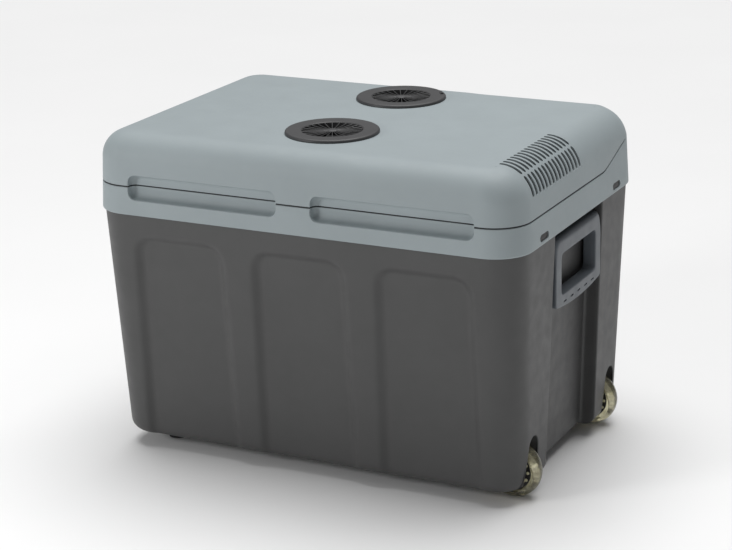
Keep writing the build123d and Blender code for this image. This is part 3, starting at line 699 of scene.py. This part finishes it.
def make_collar():
    loop = side_loop(SEAM)
    seam = seam_height(loop) - COLLAR_GAP
    rows = []

    def row(z, inset=0.0):
        rows.append(with_height(lean_in(loop, (z - SEAM) * LEAN + inset), z))

    for inset, drop in reversed(quarter(COLLAR_FOOT, 4)):
        row(COLLAR_BASE + drop, inset)
    for t in (0.2, 0.4, 0.6, 0.8):
        row(COLLAR_BASE + COLLAR_FOOT + (seam - 1 - COLLAR_BASE - COLLAR_FOOT) * t)
    for inset, drop in quarter(COLLAR_EDGE, 3):
        row(seam - drop, inset)
    row(seam, WALL)
    row(FLANGE[1], WALL)
    mouth = outline(*MOUTH)
    rows.append(with_height(outline(*(size + 1 for size in MOUTH)), FLANGE[1]))
    rows.append(with_height(mouth, FLANGE[1] - 1))
    rows.append(with_height(mouth, FLANGE[0]))
    row(FLANGE[0], WALL)
    row(COLLAR_BASE, WALL)
    shape = Shape()
    shape.add_rows(rows, wrap_rows=True)
    collar = shape.build("collar_skin")
    front = FRONT_FACE + COLLAR_POCKET
    pockets = [grip_prism(ends, GRIP_WALL, z_high=SEAM - COLLAR_GAP, front=front) for ends in GRIPS]
    combine(collar, merged(pockets).build("collar_pockets"), "UNION")
    cutters = [grip_prism(ends, 0.0, flare=GRIP_FLARE) for ends in GRIPS]
    for side in (-1, 1):
        for y in (-CLIP_Y, CLIP_Y):
            slot = stadium(CLIP_HALF[0], CLIP_HALF[1] - 0.01, y, CLIP_Z)
            cutters.append(prism(slot, 0, side * 280.0, side * 300.0))
    ring = circle(HINGE_RADIUS + HINGE_PLAY, 32, *HINGE)
    reach = KNUCKLE_HALF + HINGE_PLAY
    for x in (-KNUCKLE_X, KNUCKLE_X):
        cutters.append(prism(ring, 0, x - reach, x + reach))
    combine(collar, merged(cutters).build("collar_cutters"), "DIFFERENCE")
    finish_piece(collar, "lid", "cabinet", ["collar"], 32.0)


def box_shape(low, high):
    """Upright box between two corners."""
    corners = [(low[0], low[1]), (high[0], low[1]), (high[0], high[1]), (low[0], high[1])]
    return prism(corners, 2, low[2], high[2])


def make_vent_shade_sheet():
    """Painted shade: a black sheet just under the vent slots, so that they read dark."""
    middle = HALF_LENGTH - EDGE_RIGHT
    base = LID_TOP - EDGE_HEIGHT_RIGHT
    turn = np.radians(steps(*SHADE_SHEET_TURN, 16))
    section = []
    for inset, angles in zip(SHADE_SHEET_INSET, (turn, turn[::-1])):
        wide, tall = EDGE_RIGHT - inset, EDGE_HEIGHT_RIGHT - inset
        section += [(middle + wide * cos(a), base + tall * sin(a)) for a in angles]
    last_y = VENT_FIRST_Y + (VENT_COUNT - 1) * VENT_PITCH
    shade_sheet = prism(section, 1, VENT_FIRST_Y - SHADE_SHEET_MARGIN, last_y + SHADE_SHEET_MARGIN)
    finish_piece(shade_sheet.build("vent_shade_sheet"), "black", "lid")


def make_seal_and_shade():
    """Dark rubber lip that closes the gap between lid and collar, just behind their faces: it stands for
    the gasket and is also painted shade that keeps the gap dark.
    """
    loop = side_loop(SEAM)
    seam = seam_height(loop)
    near, far = SEAL_SHADE_INSET
    low, high = SEAL_SHADE_LIFT
    rows = []
    for inset, lift in ((near, low), (far, low), (far, high), (near, high)):
        rows.append(with_height(lean_in(loop, (seam - SEAM) * LEAN + inset), seam + lift))
    shape = Shape()
    shape.add_rows(rows, wrap_rows=True)
    lip = shape.build("seal_and_shade_lip")
    cutters = merged([grip_prism(ends, 0.4) for ends in GRIPS])
    combine(lip, cutters.build("lip_cutters"), "DIFFERENCE")
    finish_piece(lip, "rubber", "lid")
    # dark strips along each grip's floor and ends: the same gasket, and also painted shade in the gap
    # there
    low, high = SEAM + low, SEAM + high
    front = FRONT_FACE + 1.5
    floor = FRONT_FACE + GRIP_DEPTH + 1.2
    strips = []
    for left, right in GRIPS:
        strips.append(box_shape((left - 1, floor, low), (right + 1, floor + 1, high)))
        for x in (left - 2.2, right + 1.2):
            strips.append(box_shape((x, front, low), (x + 1, floor, high)))
    finish_piece(merged(strips).build("seal_and_shade_strips"), "rubber", "lid")


def lathe(profile, count, wrap=False):
    """Turns a profile of (radius, height) round the Z axis."""
    shape = Shape()
    angles = np.linspace(0, 2 * pi, count, endpoint=False)
    rows = [[(r * cos(a), r * sin(a), z) for a in angles] for r, z in profile]
    starts = shape.add_rows(rows, wrap_rows=wrap)
    if not wrap:
        shape.cap(starts[0], count)
        shape.cap(starts[-1], count)
    return shape


def placed(shape, matrix):
    """The same shape, moved by a matrix in millimetres."""
    moved = Shape()
    moved.add_points([matrix @ Vector(p) for p in shape.points])
    moved.faces = list(shape.faces)
    return moved


def barrel(x_low, x_high, radius):
    """Hinge barrel along X with softened ends."""
    soft = 0.6
    profile = [(radius - soft, x_low), (radius, x_low + soft)]
    profile += [(radius, x_high - soft), (radius - soft, x_high)]
    turned = lathe(profile, 40)
    along = Matrix.Translation((0, HINGE[0], HINGE[1])) @ Matrix.Rotation(pi / 2, 4, "Y")
    return placed(turned, along)


def make_hinge():
    """Barrel on the collar, and the lid's two knuckles with their webs."""
    reach = KNUCKLE_HALF + KNUCKLE_GAP
    edges = [-HINGE_HALF, -KNUCKLE_X - reach, -KNUCKLE_X + reach]
    edges += [-edge for edge in reversed(edges)]
    fixed = merged([barrel(a, b, HINGE_RADIUS) for a, b in zip(edges[::2], edges[1::2])])
    finish_piece(fixed.build("hinge_barrel"), "lid", "cabinet")
    shapes = []
    for x in (-KNUCKLE_X, KNUCKLE_X):
        shapes.append(barrel(x - KNUCKLE_HALF, x + KNUCKLE_HALF, HINGE_RADIUS))
        web = [(y + HINGE[0], z + HINGE[1]) for y, z in ((-5, 0), (-0.5, 0), (-0.8, 9), (-5, 9))]
        shapes.append(prism(web, 0, x - KNUCKLE_HALF, x + KNUCKLE_HALF))
    finish_piece(merged(shapes).build("hinge_knuckles"), "lid", "lid")


# ---- cabinet ----


def bay_side(inset):
    """(distance past the bay's wall, depth) from the post's face, round edge and root, to the floor."""
    edge = max(BAY_EDGE - inset, 0.3)
    root = BAY_ROOT + inset
    run = [(edge - edge * sin(a) + inset, edge * (1 - cos(a))) for a in np.radians(steps(0, 90, 4))]
    run += [(inset, depth) for depth in steps(edge, BAY_DEPTH - root, 3)[1:]]
    for a in np.radians(steps(0, 90, 4))[1:]:
        run.append((inset - root * (1 - cos(a)), BAY_DEPTH - root + root * sin(a)))
    return run


def end_stations(flat_y, inset, rise, bay):
    """(y, depth) along one end of the cabinet, from front to rear, with its handle bay."""
    side = bay_side(inset)
    front = blend(*BAY_FRONT, rise)
    rear = blend(*BAY_REAR, rise)
    run = [(front - past, depth) for past, depth in side]
    back = [(rear + past, depth) for past, depth in reversed(side)]
    floor = [(y, BAY_DEPTH) for y in steps(run[-1][0] + BAY_CLEAR, back[0][0] - BAY_CLEAR, 24)]
    post = [(y, 0.0) for y in steps(-flat_y, run[0][0] - BAY_CLEAR, POST_STEPS)]
    last = [(y, 0.0) for y in steps(back[-1][0] + BAY_CLEAR, flat_y, POST_STEPS)]
    whole = post + run + floor + back + last
    if bay:
        return whole
    return [(y, 0.0) for y in steps(-flat_y, flat_y, len(whole) - 1)]


def cabinet_loop(half_x, half_y, corner, inset, rise, bay=True):
    """Outline of the cabinet with its two bays. Also says how deep each station is in a bay."""
    flat_x, flat_y = half_x - corner, half_y - corner
    run = end_stations(flat_y, inset, rise, bay)
    points, depths = [], []

    def extend(new, depth=None):
        points.extend(new)
        depths.extend(depth if depth is not None else [0.0] * len(new))

    extend([(x, -half_y) for x in steps(-flat_x, flat_x, BODY_STEPS)[:-1]])
    extend(arc(flat_x, -flat_y, corner, -90, 0, BODY_BEND))
    extend([(half_x - d, y) for y, d in run[:-1]], [d for y, d in run[:-1]])
    extend(arc(flat_x, flat_y, corner, 0, 90, BODY_BEND))
    extend([(x, half_y) for x in steps(flat_x, -flat_x, BODY_STEPS)[:-1]])
    extend(arc(-flat_x, flat_y, corner, 90, 180, BODY_BEND))
    back = run[::-1][:-1]
    extend([(-half_x + d, y) for y, d in back], [d for y, d in back])
    extend(arc(-flat_x, -flat_y, corner, 180, 270, BODY_BEND))
    return np.array(points), np.array(depths)


def panel_depth(x, z):
    """How far the front and rear are sunk at a place: three panels with soft sloping walls."""
    rise = (z - UNDERSIDE) / (PANEL_TOP - UNDERSIDE)
    half = blend(*PANEL_HALF, rise)
    depth = np.zeros_like(x)
    for column in (-1, 0, 1):
        across = np.abs(x - column * PANEL_PITCH) - half
        over = np.full_like(x, z - PANEL_TOP)
        corner_x = np.maximum(across + PANEL_CORNER, 0)
        corner_z = np.maximum(over + PANEL_CORNER, 0)
        inside = np.minimum(np.maximum(across, over) + PANEL_CORNER, 0)
        distance = np.hypot(corner_x, corner_z) + inside - PANEL_CORNER
        slope = np.clip(-distance / PANEL_RUN, 0, 1)
        depth = np.maximum(depth, PANEL_DEPTH * (slope + smoothstep(slope)) / 2)
    return depth


def rise_of(z):
    """Where a height lies between the underside, 0, and the shoulder, 1."""
    return (z - UNDERSIDE) / (SHOULDER - UNDERSIDE)


def end_face(z):
    """X of the cabinet's end face at a height."""
    return blend(BODY_BOTTOM[0], BODY_TOP[0], rise_of(z))


def cabinet_row(z, pulled, inset):
    """One loop of the cabinet at a height. pulled is the bottom edge's rounding, from 0 to 1."""
    half_x = end_face(z) - inset
    half_y = blend(BODY_BOTTOM[1], BODY_TOP[1], rise_of(z)) - inset
    loop, depth = cabinet_loop(half_x, half_y, BODY_CORNER - inset, inset, rise_of(z))
    front = np.abs(loop[:, 1]) > half_y - 1e-6
    sink = panel_depth(loop[:, 0], z) * front
    rounding = np.hypot(depth, BODY_FOOT_ROUND * pulled) - depth
    total = (sink**PANEL_BLEND + rounding**PANEL_BLEND) ** (1 / PANEL_BLEND)
    return with_height(pull_in(loop, np.array([half_x, half_y]) - BODY_CORNER + inset, total), z)


def cabinet_rows(inset):
    """Loops from the underside up to the shoulder."""
    base = UNDERSIDE + inset
    radius = BODY_FOOT_ROUND - inset
    rows = []
    for angle in np.radians(steps(0, 90, 7)):
        scale = radius / BODY_FOOT_ROUND
        rows.append(cabinet_row(base + radius * (1 - cos(angle)), (1 - sin(angle)) * scale, inset))
    low = base + radius
    heights = [*steps(low, CLOSE_ROWS[0], 36)[1:], *steps(*CLOSE_ROWS, 20)[1:]]
    heights += list(steps(CLOSE_ROWS[1], SHOULDER - inset, 4)[1:])
    rows += [cabinet_row(z, 0.0, inset) for z in heights]
    return rows


def neck_rows(inset, low, high):
    """The narrower neck that the collar sits on, with as many points as a row with bays."""
    half_x, half_y = NECK[0] - inset, NECK[1] - inset
    loop, _ = cabinet_loop(half_x, half_y, BODY_CORNER - inset, inset, 1.0, bay=False)
    return [with_height(loop, low), with_height(loop, high)]


def well_outline(grow, z_bottom):
    """Arched opening seen along X, as (y, z) points from the middle of the wheel."""
    half = WELL_HALF + grow
    crown = WELL_APEX - WELL_HALF
    points = [(half, z) for z in steps(z_bottom, crown, 6)[:-1]]
    points += arc(0, crown, half, 0, 180, 20)
    points += [(-half - WELL_FLARE * (crown - z) / crown, z) for z in steps(crown, z_bottom, 6)[1:]]
    return points


def well_row(loop, y, place):
    """A loop of (y, z) points moved to a well. place gives X at a height."""
    return [(place(z), py + y, z) for py, z in loop]


def well_cutter(y):
    """The wheel well's space, flared a little where it leaves the end face."""
    rows = [well_row(well_outline(0.0, WELL_CUT_Z), y, lambda z: WELL_INNER_X)]
    for past, grow in WELL_MOUTH:
        loop = well_outline(grow, WELL_CUT_Z)
        rows.append(well_row(loop, y, lambda z: end_face(max(z, UNDERSIDE)) + past))
    return closed(rows)


def well_edge(z):
    """X where the lining of a well ends, just inside the end face and the rounded bottom edge."""
    below = max(UNDERSIDE + BODY_FOOT_ROUND - z, 0)
    foot = BODY_FOOT_ROUND - sqrt(max(BODY_FOOT_ROUND**2 - below**2, 0))
    return end_face(z) + WELL_RIM - foot


def well_lining(y):
    """Walls of a wheel well: an arch with a closed inner end."""
    outer = well_outline(SHELL_WALL, UNDERSIDE)
    section = outer + well_outline(0.0, UNDERSIDE)[::-1]
    arch = closed([well_row(section, y, lambda z: WELL_INNER_X), well_row(section, y, well_edge)])
    back = prism([(py + y, z) for py, z in outer], 0, WELL_INNER_X - SHELL_WALL, WELL_INNER_X)
    return merged([arch, back])


def make_cabinet():
    rows = cabinet_rows(0.0) + neck_rows(0.0, SHOULDER, NECK_TOP)
    rows += neck_rows(SHELL_WALL, SHOULDER - SHELL_WALL, NECK_TOP)[::-1]
    rows += cabinet_rows(SHELL_WALL)[::-1]
    cabinet = closed(rows).build("cabinet_shell")
    cutters = merged([well_cutter(y) for y in (-WHEEL_Y, WHEEL_Y)])
    combine(cabinet, cutters.build("well_cutters"), "DIFFERENCE")
    finish_piece(cabinet, "cabinet", "cabinet", ["outer_shell"], 38.0)
    for name, y in (("front", -WHEEL_Y), ("rear", WHEEL_Y)):
        finish_piece(well_lining(y).build(f"wheel_well_{name}"), "cabinet", "cabinet")


def make_clips():
    """Dark oblong clips that sit a little below the collar's surface."""
    shapes = []
    for side in (-1, 1):
        for y in (-CLIP_Y, CLIP_Y):
            for inset, x in CLIP_STEPS:
                slot = stadium(CLIP_HALF[0] - inset, CLIP_HALF[1] - inset, y, CLIP_Z)
                shapes.append(prism(slot, 0, side * 286.0, side * x))
    finish_piece(merged(shapes).build("clip_covers"), "black", "cabinet", ["collar_clips"])


# ---- handles ----


def handle_outline(half_y, half_z):
    """Outline with wide corners at the top and tight ones at the bottom."""
    top, low = HANDLE_TOP_CORNER, HANDLE_LOW_CORNER
    points = [(y, -half_z) for y in steps(-half_y + low, half_y - low, 40)[:-1]]
    points += arc(half_y - low, -half_z + low, low, -90, 0, 8)
    points += [(half_y, z) for z in steps(-half_z + low, half_z - top, 22)[:-1]]
    points += arc(half_y - top, half_z - top, top, 0, 90, 8)
    points += [(y, half_z) for y in steps(half_y - top, -half_y + top, 40)[:-1]]
    points += arc(-half_y + top, half_z - top, top, 90, 180, 8)
    points += [(-half_y, z) for z in steps(half_z - top, -half_z + low, 22)[:-1]]
    points += arc(-half_y + low, -half_z + low, low, 180, 270, 8)
    return np.array(points)


def handle_shape(side):
    """A flat bail: a frame between an outer outline and a window, rounded in section."""
    low_x, high_x = handle_low[0], handle_high[0]
    half_y = handle_high[1]
    top = handle_high[2]
    bottom = handle_low[2] + HANDLE_BULGE
    middle = (top + bottom) / 2
    half_z = (top - bottom) / 2
    outer = handle_outline(half_y, half_z)
    window = outline(*HANDLE_WINDOW, 40, 22, 8)
    across, down = outer[:, 0] / half_y, np.clip(-outer[:, 1] / half_z, 0, 1)
    bulge = HANDLE_BULGE * (1 - across**2) * (outer[:, 1] < 0) * down**6
    outer[:, 1] += middle - bulge
    window[:, 1] += HANDLE_WINDOW_Z
    near_top = smoothstep((outer[:, 1] - middle) / (half_z * 0.9)) ** 3
    edge = HANDLE_EDGE[0] + near_top * HANDLE_EDGE[1]
    across = window - outer
    width = np.linalg.norm(across, axis=1)
    unit = across / width[:, None]
    flat = width - HANDLE_LIP - edge
    half = [(edge * (1 - cos(a)), edge * (1 - sin(a))) for a in np.radians(steps(0, 90, 6))]
    half += [(edge + flat * t, 0.0) for t in (0.25, 0.5, 0.75)]
    for a in np.radians(steps(90, 0, 4)):
        half.append((width - HANDLE_LIP * (1 - cos(a)), HANDLE_LIP * (1 - sin(a))))

    def row(inset, x):
        place = outer + unit * np.reshape(inset * np.ones(len(outer)), (-1, 1))
        return np.column_stack([np.broadcast_to(x, len(outer)) * side, place[:, 0], place[:, 1]])

    rows = [row(inset, high_x - depth) for inset, depth in half]
    rows += [row(inset, low_x + depth) for inset, depth in reversed(half)]
    shape = Shape()
    shape.add_rows(rows, wrap_rows=True)
    return shape


def make_handles():
    """Both handles, each with a row of dashes in its face and a bore for each pivot."""
    for name, side in (("right", 1), ("left", -1)):
        handle = handle_shape(side).build(f"handle_grip_{name}")
        face = side * handle_high[0]
        cutters = []
        for step in range(-2, 3):
            slot = stadium(*DASH_HALF, step * DASH_PITCH, handle_low[2] + DASH_Z)
            cutters.append(prism(slot, 0, face - side * DASH_DEPTH, face + side * 2))
        middle = side * (handle_low[0] + handle_high[0]) / 2
        ring = circle(PIVOT_BORE, 24, middle, handle_high[2] - PIVOT_DROP)
        for end in (-1, 1):
            cutters.append(prism(ring, 1, end * PIVOT_Y[0], end * PIVOT_Y[1]))
        combine(handle, merged(cutters).build("handle_cutters"), "DIFFERENCE")
        finish_piece(handle, "handle", f"handle_{name}", [f"handle_{name}"], 34.0)


# ---- grilles and wheels ----


def grille_shape():
    """Round charcoal grille: a domed ring, thin radial blades and a small hub."""
    low = LID_TOP - 7.0
    base = LID_TOP
    top = grille_high[2]
    profile = [(GRILLE_RADIUS, low), (GRILLE_SKIRT, low), (GRILLE_SKIRT, base)]
    profile += [(DISC_RADIUS - 0.6, base), (DISC_RADIUS, base + 0.7)]
    rim = 2.8
    for inset, drop in quarter(rim, 6)[1:]:
        profile.append((DISC_RADIUS - inset, top - drop))
    profile += [(50.0, top), (44.0, top - 0.1)]
    profile += [(GRILLE_RADIUS + 1.2, top - 0.3), (GRILLE_RADIUS, top - 1.3)]
    ring = lathe(profile, 128, wrap=True)
    hub_top = top - 0.6
    hub = [(7.0, hub_top - 2.4), (7.4, hub_top - 1.2), (6.4, hub_top - 0.3)]
    hub += [(4.0, hub_top), (1.0, hub_top)]
    shapes = [ring, lathe(hub, 48)]
    for step in range(GRILLE_RIBS):
        turn = Matrix.Rotation(2 * pi * (step + 0.5) / GRILLE_RIBS, 4, "Z")
        shapes.append(placed(blade(top), turn))
    return merged(shapes)


def blade(top):
    """One radial blade, thin at its crest and a little lower in the middle of its length."""
    rows = []
    for t in steps(0, 1, 8):
        r = BLADE_START + (GRILLE_RADIUS + 0.8 - BLADE_START) * t
        crest = top - 1.9 + 0.7 * (2 * t - 1) ** 2
        shoulder = crest - 0.3
        half = 0.4 + 0.15 * t
        foot = half + 0.05
        low = crest - BLADE_HEIGHT
        section = ((-foot, low), (foot, low), (half, shoulder), (0, crest), (-half, shoulder))
        rows.append([(r, y, z) for y, z in section])
    return closed(rows)


def tab_shape():
    """Small raised tab near the rim of the rear grille, ramped towards the middle."""
    top = grille_high[2]
    section = [(-3.0, top - 1), (3.0, top - 1), (3.0, top + 1.2), (2.2, top + 1.9), (0.5, top + 1.9)]
    tab = prism(section, 1, -5.5, 5.5)
    radius, angle = TAB_PLACE
    return placed(tab, Matrix.Rotation(radians(angle), 4, "Z") @ Matrix.Translation((radius, 0, 0)))


def make_grilles():
    for name, (x, y) in GRILLE_CENTRES.items():
        shape = grille_shape()
        if name == "rear":
            shape = merged([shape, tab_shape()])
        grille = placed(shape, Matrix.Translation((x, y, 0)))
        finish_piece(grille.build(f"grille_{name}"), "charcoal", "lid", [f"fan_grille_{name}"], 35.0)


def tyre_shape():
    """Round-shouldered tyre."""
    profile = [(TYRE_INNER, -9.0), (TYRE_INNER + 0.8, -10.2)]
    for a in np.radians(steps(-74, 74, 22)):
        profile.append((WHEEL_RADIUS - TYRE_ROUND + TYRE_ROUND * cos(a), TYRE_HALF * sin(a)))
    profile += [(TYRE_INNER + 0.8, 10.2), (TYRE_INNER, 9.0)]
    return lathe(profile, 96, wrap=True)


def plugs_shape():
    """The plugs that lock the tyre into the hub's rim."""
    profile = [(0.2, -10.4), (1.5, -10.4), (2.0, -10.0), (2.0, 10.0), (1.5, 10.4), (0.2, 10.4)]
    shapes = []
    for step in range(WHEEL_PLUGS):
        turn = Matrix.Rotation(2 * pi * step / WHEEL_PLUGS, 4, "Z")
        shapes.append(placed(lathe(profile, 16), turn @ Matrix.Translation((PLUG_RADIUS, 0, 0))))
    return merged(shapes)


def hub_shape():
    """Black hub: a rim, a recessed web with spokes and a seat for the bearings."""
    rim = [(18.0, -9.0), (TYRE_INNER - 0.4, -9.6), (TYRE_INNER, -9.0), (TYRE_INNER, 9.0)]
    rim += [(TYRE_INNER - 0.4, 9.6), (18.0, 9.0)]
    web = [(13.5, -4.0), (19.5, -4.0), (19.5, 4.0), (13.5, 4.0)]
    seat = [(11.0, -9.0), (13.0, -9.0), (13.8, -8.2), (13.8, 8.2), (13.0, 9.0), (11.0, 9.0)]
    stop = [(6.0, -1.9), (11.2, -1.9), (11.2, 1.9), (6.0, 1.9)]
    shapes = [lathe(part, 72, wrap=True) for part in (rim, web, seat, stop)]
    for step in range(6):
        turn = Matrix.Rotation(2 * pi * step / 6, 4, "Z")
        shapes.append(placed(box_shape((13.2, -1.5, -8.4), (19.4, 1.5, 8.4)), turn))
    return merged(shapes)


def make_wheels():
    for name, y in (("front", -WHEEL_Y), ("rear", WHEEL_Y)):
        upright = Matrix.Translation((WHEEL_X, y, WHEEL_RADIUS)) @ Matrix.Rotation(pi / 2, 4, "X")
        body = f"wheel_{name}"
        tyre = placed(tyre_shape(), upright).build(f"tyre_{name}")
        finish_piece(tyre, "tyre", body, [f"wheel_tyre_{name}"], 50.0)
        finish_piece(placed(plugs_shape(), upright).build(f"plugs_{name}"), "plug", body)
        hub = placed(hub_shape(), upright).build(f"hub_{name}")
        finish_piece(hub, "black", body, [f"wheel_hub_{name}"])


# ---- CAD pieces that keep their shape ----


def dress(material, *nodes):
    """Gives CAD nodes their material."""
    for node in nodes:
        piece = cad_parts[node]
        piece.data.materials.clear()
        piece.data.materials.append(MATERIALS[material])


def both(*stems):
    return [f"{stem}_{end}" for stem in stems for end in ("front", "rear")]


def dress_cad():
    dress("foam", "cabinet_foam", "lid_foam")
    dress("liner", "inner_liner", "lid_liner", *both("cold_fan_guard"))
    dress("rubber", "lid_gasket", "feet")
    dress("steel", "hinge_pins", "wheel_axles", "foot_screws", "handle_pivots", "lid_screws")
    dress("polished", *both("wheel_bearings"))
    dress("aluminium", *both("hot_sink", "cold_sink", "spacer_block"))
    dress("ceramic", *both("peltier"))
    dress("black", *both("hot_fan_frame", "hot_fan_rotor", "cold_fan_frame", "cold_fan_rotor"))
    dress("board", "power_supply", "control_board")
    dress("wire", "wiring_harness")
    dress("lamp", "status_lights")
    dress("charcoal", "inlet_panel", "mains_inlet", "battery_inlet", "switch_housing", "switch_knob")


# ---- stage, lights and camera ----


def make_camera():
    data = bpy.data.cameras.new("camera")
    data.sensor_width = 36.0
    data.lens = CAMERA_LENS
    data.shift_x = CAMERA_SHIFT
    data.clip_end = 50.0
    camera = bpy.data.objects.new("camera", data)
    yaw, pitch, roll = radians(CAMERA_YAW), radians(CAMERA_PITCH), radians(CAMERA_ROLL)
    forward = Vector((-sin(yaw) * cos(pitch), cos(yaw) * cos(pitch), -sin(pitch)))
    level = Vector((cos(yaw), sin(yaw), 0))
    above = level.cross(forward)
    right = level * cos(roll) + above * sin(roll)
    up = above * cos(roll) - level * sin(roll)
    turn = Matrix((right, up, -forward)).transposed()
    camera.matrix_world = Matrix.Translation(CAMERA_PLACE) @ turn.to_4x4()
    bpy.context.scene.collection.objects.link(camera)
    bpy.context.scene.camera = camera


def soft_sun(name, towards, strength, spread):
    """Even studio light from one direction. spread is its width in degrees, so its shadows are soft."""
    data = bpy.data.lights.new(name, "SUN")
    data.energy = strength
    data.angle = radians(spread)
    light = bpy.data.objects.new(name, data)
    bpy.context.scene.collection.objects.link(light)
    light.rotation_euler = Vector(towards).to_track_quat("Z", "Y").to_euler()


def soft_box(name, place, target, size, power):
    """Square lamp near the object, which brightens the part of it that it faces."""
    data = bpy.data.lights.new(name, "AREA")
    data.size = size
    data.energy = power
    light = bpy.data.objects.new(name, data)
    light.location = place
    light.rotation_euler = (Vector(place) - Vector(target)).to_track_quat("Z", "Y").to_euler()
    bpy.context.scene.collection.objects.link(light)


def make_stage():
    """Pale floor, white world and the lights."""
    far = FLOOR_HALF
    shape = Shape()
    shape.add_points([(-far, -far, 0), (far, -far, 0), (far, far, 0), (-far, far, 0)])
    shape.faces.append((0, 1, 2, 3))
    floor = shape.build("floor", tidy=False)
    material, tree, shader = new_material("pale_floor")
    tone = ramp(tree, noise(tree, scale=3.0), (0.88, 0.88, 0.88, 1), (0.89, 0.89, 0.89, 1))
    tree.links.new(tone, shader.inputs["Base Color"])
    shader.inputs["Roughness"].default_value = 0.9
    floor.data.materials.append(material)
    world = bpy.data.worlds.new("studio")
    bpy.context.scene.world = world
    world.use_nodes = True
    background = world.node_tree.nodes["Background"]
    background.inputs["Color"].default_value = (1.0, 1.0, 1.0, 1.0)
    background.inputs["Strength"].default_value = WORLD_STRENGTH
    soft_sun("overhead", (-0.05, 0.27, 1.0), 2.55, 55.0)
    soft_box("front_box", (-1.6, -2.2, 1.15), (0.1, -0.1, 0.25), 0.7, 22.0)
    soft_box("top_box", (0.22, 0.1, 1.15), (0.2, 0.0, 0.4), 0.4, 0.9)
    bpy.context.scene.view_settings.view_transform = "Standard"


make_camera()
make_stage()
make_cabinet()
make_collar()
make_lid()
make_vent_shade_sheet()
make_seal_and_shade()
make_hinge()
make_clips()
make_handles()
make_grilles()
make_wheels()
dress_cad()
